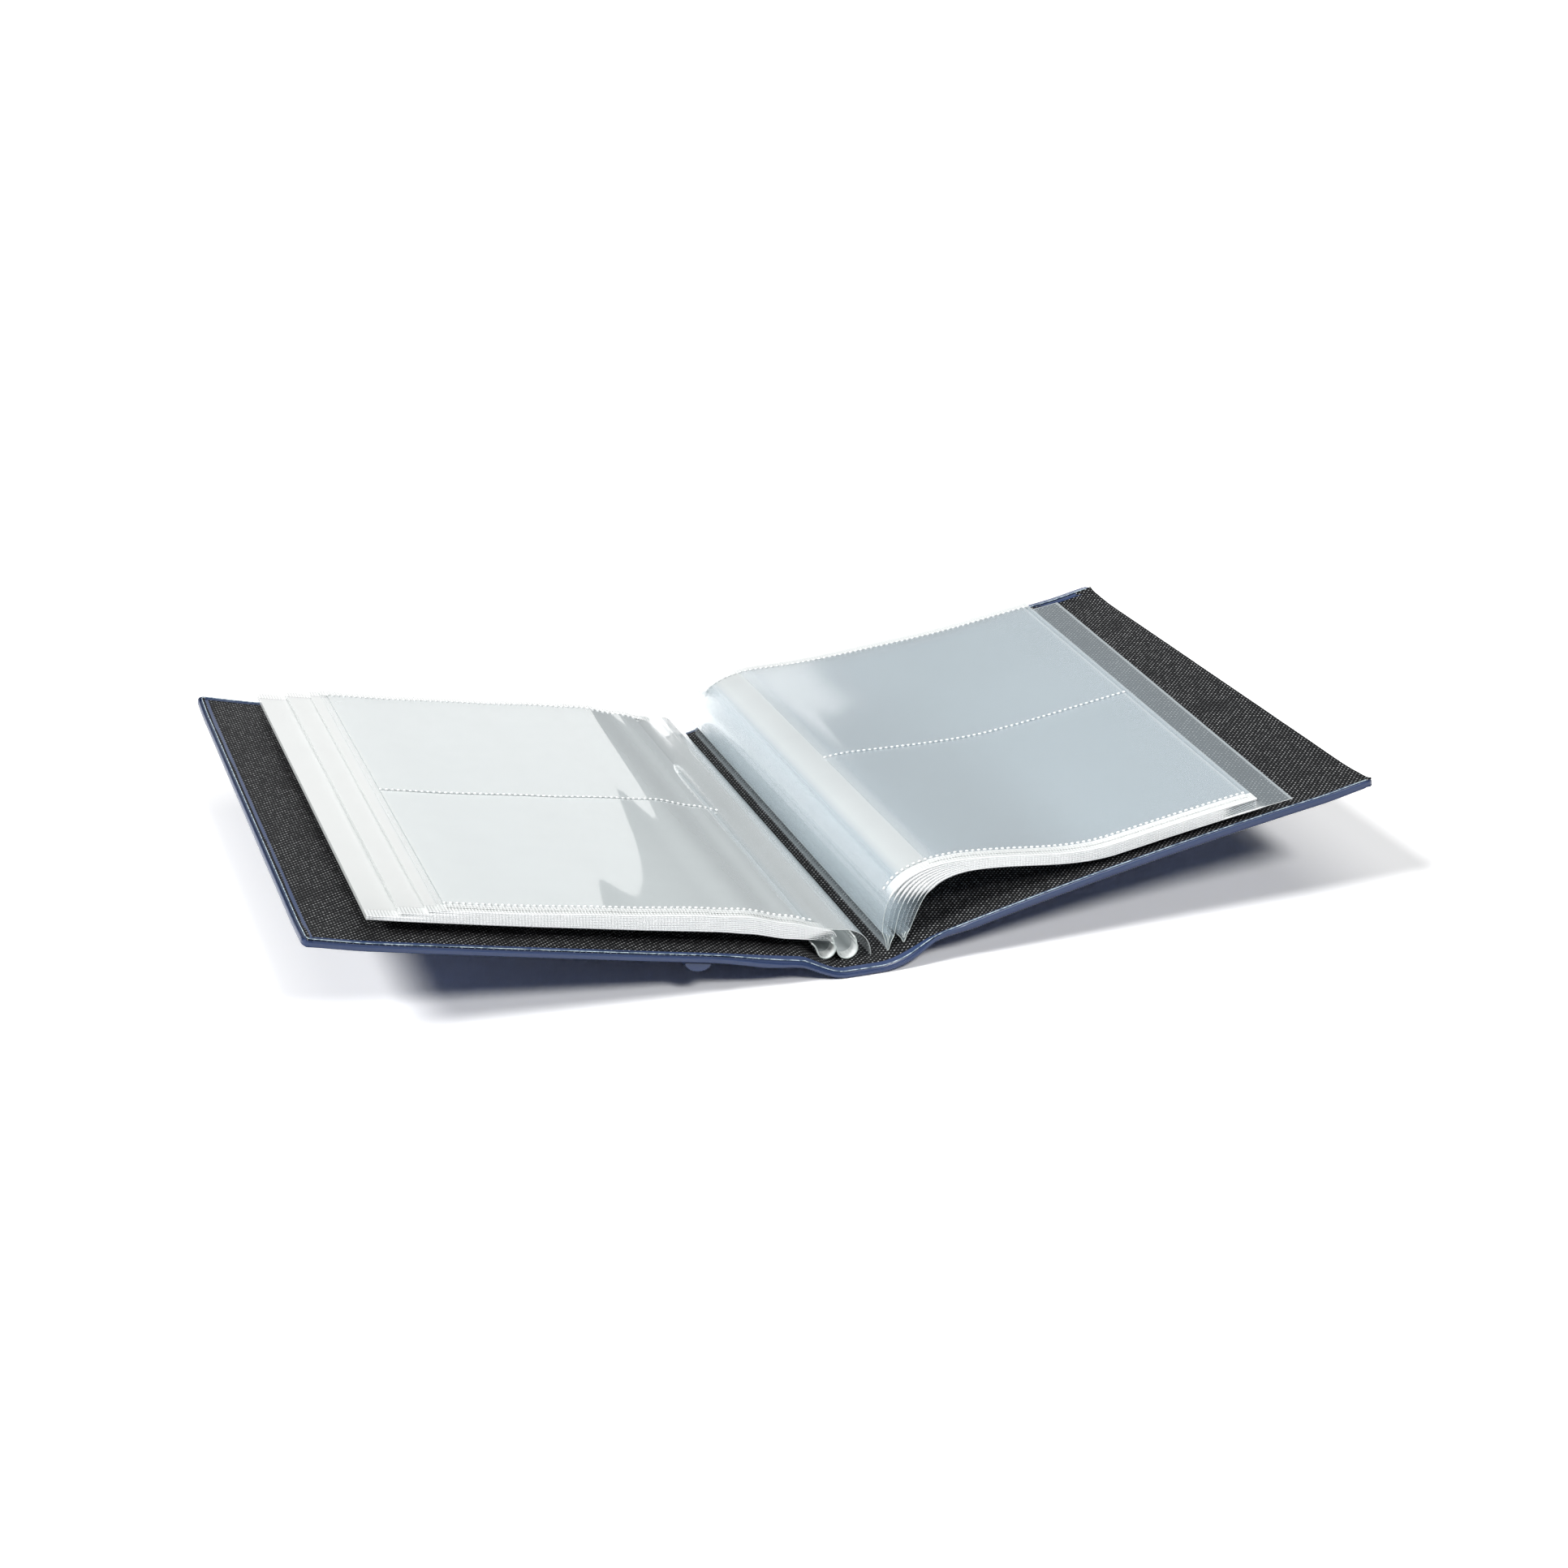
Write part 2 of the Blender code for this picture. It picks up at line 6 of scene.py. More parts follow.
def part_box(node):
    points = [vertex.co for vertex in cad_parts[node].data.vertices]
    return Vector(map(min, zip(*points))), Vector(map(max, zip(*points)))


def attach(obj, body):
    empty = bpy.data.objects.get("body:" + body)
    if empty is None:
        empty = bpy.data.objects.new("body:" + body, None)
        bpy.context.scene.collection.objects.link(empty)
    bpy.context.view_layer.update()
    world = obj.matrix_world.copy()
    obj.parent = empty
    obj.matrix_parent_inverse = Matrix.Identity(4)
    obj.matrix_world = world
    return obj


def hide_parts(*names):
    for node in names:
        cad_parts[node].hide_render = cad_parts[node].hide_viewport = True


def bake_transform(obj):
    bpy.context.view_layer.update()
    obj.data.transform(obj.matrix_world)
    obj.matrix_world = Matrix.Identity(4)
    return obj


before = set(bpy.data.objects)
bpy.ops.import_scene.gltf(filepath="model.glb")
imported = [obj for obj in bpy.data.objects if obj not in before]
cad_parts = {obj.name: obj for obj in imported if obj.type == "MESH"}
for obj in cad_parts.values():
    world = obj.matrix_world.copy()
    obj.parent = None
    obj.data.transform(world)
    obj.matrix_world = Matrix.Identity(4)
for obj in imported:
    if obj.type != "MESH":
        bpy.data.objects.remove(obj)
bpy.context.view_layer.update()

mm = 0.001
tiny = 1e-6
curveSteps = 12
print("frame loaded:", len(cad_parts), "nodes")


def mixed(a, b, share):
    return a + (b - a) * share


def eased(share):
    share = min(max(share, 0.0), 1.0)
    return share * share * (3.0 - 2.0 * share)


# a smooth value from marks of (place, value)
def marked(marks, place):
    value = marks[0][1]
    for (start, low), (stop, high) in zip(marks, marks[1:]):
        if place > start:
            value = mixed(low, high, eased((place - start) / (stop - start)))
    return value


# middle line of a CAD film at its near or far end, as (x, z, drift along the spine) points
def filmPoints(node, far):
    picks = [vertex.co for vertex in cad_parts[node].data.vertices if (vertex.co.y > 0) == far]
    root = max(spot.y for spot in picks)
    loose = []
    for spot in picks:
        point = Vector((spot.x, spot.z, spot.y - root))
        if all((point - other).length > tiny for other in loose):
            loose.append(point)
    middles = []
    while len(loose) > 1:
        point = loose.pop()
        mate = min(loose, key=lambda other: (other - point).length)
        loose.remove(mate)
        middles.append((point + mate) / 2)
    return middles


# the same points in order, from the lower end outwards
def filmLine(node, far=False):
    middles = filmPoints(node, far)
    ends = max(((a, b) for a in middles for b in middles), key=lambda pair: (pair[0] - pair[1]).length)
    line = [min(ends, key=lambda point: point.y)]
    middles.remove(line[0])
    while middles:
        nearest = min(middles, key=lambda point: (point - line[-1]).length)
        middles.remove(nearest)
        line.append(nearest)
    return line


# a smooth curve through the points, cut into even steps
def evenLine(points, count):
    curve = []
    for index in range(len(points) - 1):
        before = points[max(index - 1, 0)]
        a = points[index]
        b = points[index + 1]
        after = points[min(index + 2, len(points) - 1)]
        for step in range(curveSteps):
            t = step / curveSteps
            bend = (2 * before - 5 * a + 4 * b - after) * t * t + (3 * a - before - 3 * b + after) * t ** 3
            curve.append((2 * a + (b - before) * t + bend) / 2)
    curve.append(points[-1])
    reach = [0.0]
    for index in range(1, len(curve)):
        reach.append(reach[-1] + (curve[index] - curve[index - 1]).length)
    even = []
    index = 0
    for step in range(count + 1):
        goal = reach[-1] * step / count
        while index < len(curve) - 2 and reach[index + 1] < goal:
            index += 1
        span = max(reach[index + 1] - reach[index], tiny)
        even.append(curve[index].lerp(curve[index + 1], (goal - reach[index]) / span))
    return even


def lineLength(line):
    return sum((line[index + 1] - line[index]).length for index in range(len(line) - 1))


# point and direction at a share of an even line, running straight on past its ends
def lineAt(line, share):
    place = share * (len(line) - 1)
    index = min(max(int(place), 0), len(line) - 2)
    step = line[index + 1] - line[index]
    return line[index] + step * (place - index), step.normalized()


def startFresh():
    if bpy.context.object and bpy.context.object.mode != "OBJECT":
        bpy.ops.object.mode_set(mode="OBJECT")
    bpy.ops.object.select_all(action="DESELECT")


def applyModifier(obj, kind, **settings):
    modifier = obj.modifiers.new(kind.title(), kind)
    for key, value in settings.items():
        setattr(modifier, key, value)
    bpy.context.view_layer.objects.active = obj
    bpy.ops.object.modifier_apply(modifier=modifier.name)


def smoothShade(obj, angle):
    startFresh()
    obj.select_set(True)
    bpy.context.view_layer.objects.active = obj
    bpy.ops.object.shade_smooth_by_angle(angle=radians(angle))


def joinPieces(pieces, name):
    startFresh()
    for piece in pieces:
        piece.select_set(True)
    bpy.context.view_layer.objects.active = pieces[0]
    bpy.ops.object.join()
    pieces[0].name = name
    return pieces[0]


def paint(obj, material):
    obj.data.materials.clear()
    obj.data.materials.append(material)


# a grid that place(u, v) lays out, with the film's own measures kept as attributes
def newSheet(name, across, along, place, measures=None):
    startFresh()
    bpy.ops.mesh.primitive_grid_add(x_subdivisions=across, y_subdivisions=along, size=1)
    obj = bpy.context.object
    obj.name = name
    spots = [(vertex.co.x + 0.5, vertex.co.y + 0.5) for vertex in obj.data.vertices]
    for vertex, (u, v) in zip(obj.data.vertices, spots):
        vertex.co = place(u, v)
    for key, measure in (measures or {}).items():
        layer = obj.data.attributes.new(key, "FLOAT", "POINT")
        layer.data.foreach_set("value", [measure(u, v) for u, v in spots])
    return obj


# a round bead along points, with a radius for each
def newBead(name, points, radii):
    startFresh()
    curve = bpy.data.curves.new(name, "CURVE")
    curve.dimensions = "3D"
    curve.bevel_depth = 1.0
    curve.bevel_resolution = 1
    curve.use_fill_caps = True
    spline = curve.splines.new("POLY")
    spline.points.add(len(points) - 1)
    for spot, point, radius in zip(spline.points, points, radii):
        spot.co = (*point, 1.0)
        spot.radius = radius
    obj = bpy.data.objects.new(name, curve)
    bpy.context.collection.objects.link(obj)
    obj.select_set(True)
    bpy.context.view_layer.objects.active = obj
    bpy.ops.object.convert(target="MESH")
    return bpy.context.object


# materials

def addNode(tree, kind, inputs=None, **settings):
    made = tree.nodes.new("ShaderNode" + kind)
    for key, value in settings.items():
        setattr(made, key, value)
    for key, value in (inputs or {}).items():
        if isinstance(value, bpy.types.NodeSocket):
            tree.links.new(value, made.inputs[key])
        else:
            made.inputs[key].default_value = value
    return made


def calc(tree, operation, a, b=0.0, clamp=False):
    made = addNode(tree, "Math", {0: a, 1: b}, operation=operation, use_clamp=clamp)
    return made.outputs[0]


def ramped(tree, value, low, high):
    made = addNode(tree, "MapRange", {"Value": value, "From Min": low, "From Max": high},
                   interpolation_type="SMOOTHSTEP")
    return made.outputs[0]


def tinted(tree, share, first, second):
    made = addNode(tree, "Mix", {0: share, 6: first, 7: second}, data_type="RGBA")
    return made.outputs[2]


def newMaterial(name):
    material = bpy.data.materials.new(name)
    material.use_nodes = True
    tree = material.node_tree
    tree.nodes.clear()
    out = tree.nodes.new("ShaderNodeOutputMaterial")
    spot = tree.nodes.new("ShaderNodeTexCoord").outputs["Object"]
    return material, tree, out, spot


# black linen: a near-black ground, with the knots of the embossed weave painted light as highlights
linen = {"warp": 1.05 * mm, "weft": 1.0 * mm, "drift": 0.7 * mm, "bump": 0.12 * mm,
         "ground": (0.008, 0.0083, 0.009, 1), "knotHighlight": (0.72, 0.73, 0.74, 1),
         "knot": (0.46, 0.86), "fleck": (0.34, 0.66), "cloud": (0.15, 0.55), "least": 0.15, "more": 0.55}


def linenLining():
    material, tree, out, spot = newMaterial("black linen lining")
    drift = addNode(tree, "TexNoise", {"Vector": spot, "Scale": 90.0, "Detail": 2.0})
    wobble = addNode(tree, "VectorMath", {0: drift.outputs["Color"], 3: linen["drift"]}, operation="SCALE")
    moved = addNode(tree, "VectorMath", {0: spot, 1: wobble.outputs[0]}, operation="ADD")
    axes = addNode(tree, "SeparateXYZ", {0: moved.outputs[0]})
    warp = calc(tree, "SINE", calc(tree, "MULTIPLY", axes.outputs[0], pi / linen["warp"]))
    weft = calc(tree, "SINE", calc(tree, "MULTIPLY", axes.outputs[1], pi / linen["weft"]))
    weave = calc(tree, "MULTIPLY", warp, weft)
    # painted highlights: the knots, where the weave's bump rises, take the light colour, its strength varied
    # by noise
    knot = ramped(tree, weave, *linen["knot"])
    fleck = addNode(tree, "TexNoise", {"Vector": spot, "Scale": 620.0, "Detail": 1.0})
    cloud = addNode(tree, "TexNoise", {"Vector": spot, "Scale": 70.0, "Detail": 2.0})
    highlightStrength = calc(tree, "MULTIPLY", ramped(tree, fleck.outputs["Fac"], *linen["fleck"]),
                  ramped(tree, cloud.outputs["Fac"], *linen["cloud"]))
    highlightStrength = calc(tree, "ADD", calc(tree, "MULTIPLY", highlightStrength, linen["more"]), linen["least"])
    share = calc(tree, "MULTIPLY", knot, highlightStrength, clamp=True)
    colour = tinted(tree, share, linen["ground"], linen["knotHighlight"])
    bump = addNode(tree, "Bump", {"Height": weave, "Strength": 0.7, "Distance": linen["bump"]})
    shader = addNode(tree, "BsdfPrincipled", {"Base Color": colour, "Roughness": 0.6,
                                              "Specular IOR Level": 0.12, "Normal": bump.outputs[0]})
    tree.links.new(shader.outputs[0], out.inputs["Surface"])
    return material


blue = {"dark": (0.022, 0.042, 0.112, 1), "light": (0.029, 0.054, 0.142, 1), "rough": (0.24, 0.38),
        "bump": 0.08 * mm}


def blueFilm():
    material, tree, out, spot = newMaterial("blue outer film")
    grain = addNode(tree, "TexNoise", {"Vector": spot, "Scale": 1500.0, "Detail": 3.0})
    cloud = addNode(tree, "TexNoise", {"Vector": spot, "Scale": 26.0, "Detail": 3.0})
    colour = tinted(tree, cloud.outputs["Fac"], blue["dark"], blue["light"])
    rough = addNode(tree, "MapRange", {"Value": grain.outputs["Fac"], "To Min": blue["rough"][0],
                                       "To Max": blue["rough"][1]})
    bump = addNode(tree, "Bump", {"Height": grain.outputs["Fac"], "Strength": 0.35, "Distance": blue["bump"]})
    shader = addNode(tree, "BsdfPrincipled", {"Base Color": colour, "Roughness": rough.outputs[0],
                                              "Specular IOR Level": 0.55, "Normal": bump.outputs[0]})
    tree.links.new(shader.outputs[0], out.inputs["Surface"])
    return material


# pressed weld line: pale dashes broken by noise, partly the line's own tone and partly a painted highlight
# along its ridge
pressed = {"dark": (0.12, 0.19, 0.28, 1), "light": (0.62, 0.76, 0.82, 1), "toneAndShineDashes": (0.34, 0.60)}


def weldLine():
    material, tree, out, spot = newMaterial("pressed weld line")
    toneAndShineDashes = addNode(tree, "TexNoise", {"Vector": spot, "Scale": 520.0, "Detail": 2.0})
    # partly painted highlight: where the noise is high, the light colour stands for shine on the ridge as
    # well as the line's tone
    share = ramped(tree, toneAndShineDashes.outputs["Fac"], *pressed["toneAndShineDashes"])
    colour = tinted(tree, share, pressed["dark"], pressed["light"])
    shader = addNode(tree, "BsdfPrincipled", {"Base Color": colour, "Roughness": 0.22,
                                              "Specular IOR Level": 0.7})
    tree.links.new(shader.outputs[0], out.inputs["Surface"])
    return material


board = {"dark": (0.27, 0.25, 0.22, 1), "light": (0.39, 0.37, 0.33, 1), "bump": 0.2 * mm}


def greyBoard():
    material, tree, out, spot = newMaterial("grey board")
    pulp = addNode(tree, "TexNoise", {"Vector": spot, "Scale": 420.0, "Detail": 5.0})
    colour = tinted(tree, pulp.outputs["Fac"], board["dark"], board["light"])
    bump = addNode(tree, "Bump", {"Height": pulp.outputs["Fac"], "Strength": 0.3, "Distance": board["bump"]})
    shader = addNode(tree, "BsdfPrincipled", {"Base Color": colour, "Roughness": 0.9,
                                              "Normal": bump.outputs[0]})
    tree.links.new(shader.outputs[0], out.inputs["Surface"])
    return material


# the leaves are one film: the lighter green tint on the left and the darker, bluer tints on the right are
# painted light and shade
film = {"green": (0.85, 0.905, 0.91, 1), "blue": (0.66, 0.77, 0.83, 1), "pale": (0.72, 0.80, 0.84, 1),
        "white": (0.92, 0.94, 0.93, 1), "band": (105.4 * mm, 105.4 * mm + 0.7 * mm),
        "lip": (0.4 * mm, 1.6 * mm), "uneven": (0.8, 1.2), "milk": (1.5, 4.5), "bandCover": 0.95,
        "lipCover": 0.35, "rib": 1.1 * mm, "bump": 0.15 * mm, "weldBump": 0.1 * mm, "shine": 1.75}


# clear film: a thin haze under gloss, turning white where it is welded
def clearFilm(name, haze, tint, gloss=0.08):
    material, tree, out, spot = newMaterial(name)
    axes = addNode(tree, "SeparateXYZ", {0: spot})
    across = addNode(tree, "Attribute", attribute_name="across")
    rise = calc(tree, "ABSOLUTE", across.outputs["Fac"])
    banded = addNode(tree, "Attribute", attribute_name="band")
    band = calc(tree, "MULTIPLY", ramped(tree, rise, *film["band"]), banded.outputs["Fac"])
    fore = addNode(tree, "Attribute", attribute_name="fore")
    milk = addNode(tree, "Attribute", attribute_name="milk")
    lip = calc(tree, "SUBTRACT", 1.0, ramped(tree, fore.outputs["Fac"], *film["lip"]))
    cloud = addNode(tree, "TexNoise", {"Vector": spot, "Scale": 14.0, "Detail": 3.0})
    uneven = addNode(tree, "MapRange", {"Value": cloud.outputs["Fac"], "To Min": haze * film["uneven"][0],
                                        "To Max": haze * film["uneven"][1]})
    thick = calc(tree, "MULTIPLY", uneven.outputs[0], milk.outputs["Fac"], clamp=True)
    weld = calc(tree, "MAXIMUM", calc(tree, "MULTIPLY", band, film["bandCover"]),
                calc(tree, "MULTIPLY", lip, film["lipCover"]))
    cover = calc(tree, "MAXIMUM", thick, weld)
    ribs = calc(tree, "SINE", calc(tree, "MULTIPLY", axes.outputs[0], 2 * pi / film["rib"]))
    height = calc(tree, "MULTIPLY", ribs, band)
    bump = addNode(tree, "Bump", {"Height": height, "Strength": 0.5, "Distance": film["bump"]})
    pale = calc(tree, "MAXIMUM", weld, ramped(tree, milk.outputs["Fac"], *film["milk"]))
    colour = tinted(tree, pale, film[tint], film["white"])
    body = addNode(tree, "BsdfPrincipled", {"Base Color": colour, "Roughness": 0.55,
                                            "Specular IOR Level": 0.0, "Normal": bump.outputs[0]})
    clear = addNode(tree, "BsdfTransparent")
    milky = addNode(tree, "MixShader", {0: cover, 1: clear.outputs[0], 2: body.outputs[0]})
    shine = addNode(tree, "BsdfGlossy", {"Color": (1, 1, 1, 1), "Roughness": gloss,
                                         "Normal": bump.outputs[0]})
    edge = addNode(tree, "Fresnel", {"IOR": 1.46})
    inside = addNode(tree, "NewGeometry").outputs["Backfacing"]
    # both faces of the film shine together, on the outer one
    outer = calc(tree, "SUBTRACT", 1.0, inside)
    shown = calc(tree, "MULTIPLY", edge.outputs[0], film["shine"], clamp=True)
    skin = calc(tree, "MULTIPLY", shown, outer)
    full = addNode(tree, "MixShader", {0: skin, 1: milky.outputs[0], 2: shine.outputs[0]})
    tree.links.new(full.outputs[0], out.inputs["Surface"])
    return material


# milky film, ribbed by the weld
def weldedFilm(name, first, second):
    material, tree, out, spot = newMaterial(name)
    axes = addNode(tree, "SeparateXYZ", {0: spot})
    ribs = calc(tree, "SINE", calc(tree, "MULTIPLY", axes.outputs[0], 2 * pi / film["rib"]))
    cloud = addNode(tree, "TexNoise", {"Vector": spot, "Scale": 300.0, "Detail": 2.0})
    colour = tinted(tree, cloud.outputs["Fac"], first, second)
    bump = addNode(tree, "Bump", {"Height": ribs, "Strength": 0.4, "Distance": film["weldBump"]})
    shader = addNode(tree, "BsdfPrincipled", {"Base Color": colour, "Roughness": 0.42,
                                              "Specular IOR Level": 0.5, "Normal": bump.outputs[0]})
    tree.links.new(shader.outputs[0], out.inputs["Surface"])
    return material


liningFinish = linenLining()
blueFinish = blueFilm()
lineFinish = weldLine()
boardFinish = greyBoard()
# left films take the lighter tint and right films the darker ones: painted light and shade on one film
leftFinish = clearFilm("clear left film", 0.14, "green")
leftPocketFinish = clearFilm("clear left pocket film", 0.44, "green", 0.035)
rightFinish = clearFilm("clear right film", 0.12, "blue", 0.10)
rightPocketFinish = clearFilm("clear right pocket film", 0.24, "pale", 0.10)
foldFinish = clearFilm("clear fold film", 0.5, "green", 0.12)
weldFinish = weldedFilm("white welded film", (0.84, 0.87, 0.87, 1), (0.93, 0.94, 0.94, 1))
rimFinish = weldedFilm("cut film edge", (0.52, 0.58, 0.56, 1), (0.72, 0.77, 0.75, 1))
print("materials made")


# covers: each half runs from the middle of the spine to the fore-edge

covers = {
    -1: {"name": "front", "body": "front_cover", "lining": "front_lining"},
    1: {"name": "back", "body": "back_cover", "lining": "back_lining"},
}
coverForm = {"thick": 3.4, "hingeThick": 2.4, "spineThick": 2.8, "halfHeight": 120.0, "rim": 2.5,
             "corner": 3.2, "bead": 0.9, "rimTop": 0.1, "liningThick": 0.6, "hinge": 24.1, "hingeGap": 0.6,
             "spineTaper": 8.0, "coverTaper": 16.0, "pinch": {-1: 0.42, 1: 0.22}, "spinePinch": 0.68,
             "pinchStart": 6.0, "pinchRun": 22.0, "curlReach": 10.0, "edgePower": 4, "forePower": 2,
             "flare": {-1: 0.7, 1: 1.1}, "flareReach": 22.0, "middle": 0.2, "steps": 400, "waySpan": 0.008}
# curl of the long edges, from marks of (place past the hinge, rise) in mm
coverForm["curl"] = {-1: ((-14.0, -1.3), (-2.0, -1.9), (5.0, -1.7), (34.0, 0.0)),
                     1: ((-13.0, -1.2), (6.0, 1.8))}

for side, half in covers.items():
    spine = sorted(filmPoints("spine_lining", False), key=lambda point: point.x * side)
    outer = [point for point in spine if point.x * side > coverForm["middle"] * mm]
    inner = [point for point in spine if point.x * side <= coverForm["middle"] * mm][-1]
    centre = inner.lerp(outer[0], -inner.x / (outer[0].x - inner.x))
    line = evenLine([centre] + outer + filmLine(half["lining"]), coverForm["steps"])
    half["line"] = line
    half["liningEnd"] = lineLength(line)
    half["length"] = half["liningEnd"] + coverForm["rim"] * mm
    past = [index for index, point in enumerate(line) if abs(point.x) >= coverForm["hinge"] * mm]
    half["hinge"] = half["liningEnd"] * past[0] / coverForm["steps"]


# how far a place lies towards the long edges, from none to whole
def edgeShare(y):
    share = 1 - (coverForm["halfHeight"] * mm - abs(y)) / (coverForm["curlReach"] * mm)
    return min(max(share, 0.0), 1.0) ** coverForm["edgePower"]


# the same towards the fore-edge
def foreShare(side, along):
    share = 1 - (covers[side]["length"] - along) / (coverForm["curlReach"] * mm)
    return min(max(share, 0.0), 1.0) ** coverForm["forePower"]


# thickness of a cover or of the spine, which are pinched towards their edges
def coverDepth(side, along, y):
    past = (along - covers[side]["hinge"]) / mm
    clear = abs(past) - coverForm["hingeGap"]
    if past < 0:
        deep = mixed(coverForm["hingeThick"], coverForm["spineThick"], eased(clear / coverForm["spineTaper"]))
    else:
        deep = mixed(coverForm["hingeThick"], coverForm["thick"], eased(clear / coverForm["coverTaper"]))
    share = eased((past + coverForm["pinchStart"]) / coverForm["pinchRun"])
    pinch = mixed(coverForm["spinePinch"], coverForm["pinch"][side], share)
    return deep * mm * (1 - pinch * max(edgeShare(y), foreShare(side, along)))


# a point on a cover: along from the spine's middle, y, and above the lining's face
def coverSpot(side, along, y, above):
    half = covers[side]
    share = along / half["liningEnd"]
    point = lineAt(half["line"], share)[0]
    ahead = lineAt(half["line"], share + coverForm["waySpan"])[0]
    behind = lineAt(half["line"], share - coverForm["waySpan"])[0]
    way = (ahead - behind).normalized()
    up = Vector((-way.y, way.x)) * side
    curl = marked(coverForm["curl"][side], (along - half["hinge"]) / mm) * mm
    near = eased(1 - (half["length"] - along) / (coverForm["flareReach"] * mm))
    end = eased(1 - (coverForm["halfHeight"] * mm - abs(y)) / (coverForm["flareReach"] * mm))
    face = coverForm["liningThick"] / 2 * mm
    lift = above + face + curl * edgeShare(y) + coverForm["flare"][side] * mm * near * end
    return Vector((point.x + up.x * lift, y, point.y + up.y * lift))


def selectEdges(obj, test):
    bpy.ops.object.mode_set(mode="OBJECT")
    for edge in obj.data.edges:
        a, b = (obj.data.vertices[index].co for index in edge.vertices)
        edge.select = test(a, b)
    bpy.ops.object.mode_set(mode="EDIT")


def cutAcross(axis, places):
    for place in places:
        bpy.ops.mesh.select_all(action="SELECT")
        spot = [0.0, 0.0, 0.0]
        spot[axis] = place
        way = [0.0, 0.0, 0.0]
        way[axis] = 1.0
        bpy.ops.mesh.bisect(plane_co=spot, plane_no=way)


skinForm = {"overrun": 10.0, "roundSteps": 5, "upward": 0.99, "film": 0.35, "cut": 3.0, "rows": 12,
            "edgeCut": 1.7, "edgeRows": 5}


# blue outer film: a slab with round edges, opened on top, cut for bending and laid on the cover's curve
def outerFilm(side):
    half = covers[side]
    thick = coverForm["thick"] * mm
    high = coverForm["halfHeight"] * mm
    startFresh()
    bpy.ops.mesh.primitive_cube_add(size=1)
    obj = bpy.context.object
    obj.name = half["name"] + "_outer_film"
    for vertex in obj.data.vertices:
        vertex.co.x = half["length"] if vertex.co.x > 0 else -skinForm["overrun"] * mm
        vertex.co.y *= 2 * high
        vertex.co.z = coverForm["rimTop"] * mm if vertex.co.z > 0 else -thick
    bpy.ops.object.mode_set(mode="EDIT")
    bpy.ops.mesh.select_mode(type="EDGE")
    selectEdges(obj, lambda a, b: a.x > 0 and b.x > 0 and abs(a.z - b.z) > mm)
    bpy.ops.mesh.bevel(offset=coverForm["corner"] * mm, segments=skinForm["roundSteps"], affect="EDGES")
    selectEdges(obj, lambda a, b: abs(a.z - b.z) < tiny and max(a.x, b.x) > 0)
    bpy.ops.mesh.bevel(offset=coverForm["bead"] * mm, segments=skinForm["roundSteps"], affect="EDGES")
    bpy.ops.mesh.select_all(action="SELECT")
    bpy.ops.mesh.bisect(plane_co=(0, 0, 0), plane_no=(1, 0, 0), clear_inner=True)
    bpy.ops.object.mode_set(mode="OBJECT")
    for face in obj.data.polygons:
        face.select = face.normal.z > skinForm["upward"]
    bpy.ops.object.mode_set(mode="EDIT")
    bpy.ops.mesh.select_mode(type="FACE")
    bpy.ops.mesh.inset(thickness=skinForm["film"] * mm, use_boundary=False)
    bpy.ops.mesh.delete(type="FACE")
    steps = int(half["length"] / (skinForm["cut"] * mm))
    cutAcross(0, [half["length"] * step / steps for step in range(1, steps)])
    rows = skinForm["rows"]
    cutAcross(1, [high * step / rows for step in range(1 - rows, rows)])
    insets = [step * skinForm["edgeCut"] * mm for step in range(1, skinForm["edgeRows"] + 1)]
    for sign in (-1, 1):
        cutAcross(1, [sign * (high - inset) for inset in insets])
    bpy.ops.object.mode_set(mode="OBJECT")
    for vertex in obj.data.vertices:
        along, y, above = vertex.co
        if above < 0:
            above *= coverDepth(side, along, y) / thick
        vertex.co = coverSpot(side, along, y, above)
    if side < 0:
        obj.data.flip_normals()
    applyModifier(obj, "SOLIDIFY", thickness=skinForm["film"] * mm, offset=-1.0)
    smoothShade(obj, 35)
    paint(obj, blueFinish)
    return obj


ribForm = {"along": 38.0, "wide": 11.0, "high": 3.0, "sunk": 0.5, "setback": 1.2, "round": 0.08}


# half-round rib under the front cover, near its hinge
def coverRib(side):
    half = covers[side]
    startFresh()
    bpy.ops.mesh.primitive_cylinder_add(vertices=28, radius=0.5, depth=1, rotation=(pi / 2, 0, 0))
    bpy.ops.object.transform_apply(location=False, rotation=True, scale=False)
    obj = bpy.context.object
    obj.name = half["name"] + "_rib"
    bpy.ops.object.mode_set(mode="EDIT")
    bpy.ops.mesh.select_mode(type="EDGE")
    selectEdges(obj, lambda a, b: abs(a.y - b.y) < tiny)
    bpy.ops.mesh.bevel(offset=ribForm["round"], segments=3, affect="EDGES")
    bpy.ops.object.mode_set(mode="OBJECT")
    roof = -coverForm["thick"] * mm + ribForm["sunk"] * mm
    for vertex in obj.data.vertices:
        along = half["hinge"] + (ribForm["along"] + vertex.co.x * ribForm["wide"]) * mm
        y = vertex.co.y * 2 * (coverForm["halfHeight"] - ribForm["setback"]) * mm
        above = roof + vertex.co.z * 2 * (ribForm["high"] + ribForm["sunk"]) * mm
        vertex.co = coverSpot(side, along, y, min(above, roof))
    bpy.ops.object.mode_set(mode="EDIT")
    bpy.ops.mesh.select_all(action="SELECT")
    bpy.ops.mesh.remove_doubles(threshold=tiny)
    bpy.ops.mesh.normals_make_consistent(inside=False)
    bpy.ops.object.mode_set(mode="OBJECT")
    smoothShade(obj, 35)
    paint(obj, blueFinish)
    return obj


# black lining on top, inside the rim, and over it at the back cover's fore-edge
liningForm = {"edge": 1.3, "fore": {-1: 1.3, 1: 0.4}, "lap": {-1: 0.0, 1: 0.75}, "ripple": 0.12,
              "rippleScale": 40, "rippleSeed": 3.1, "rippleRun": 30, "across": 120, "along": 110}


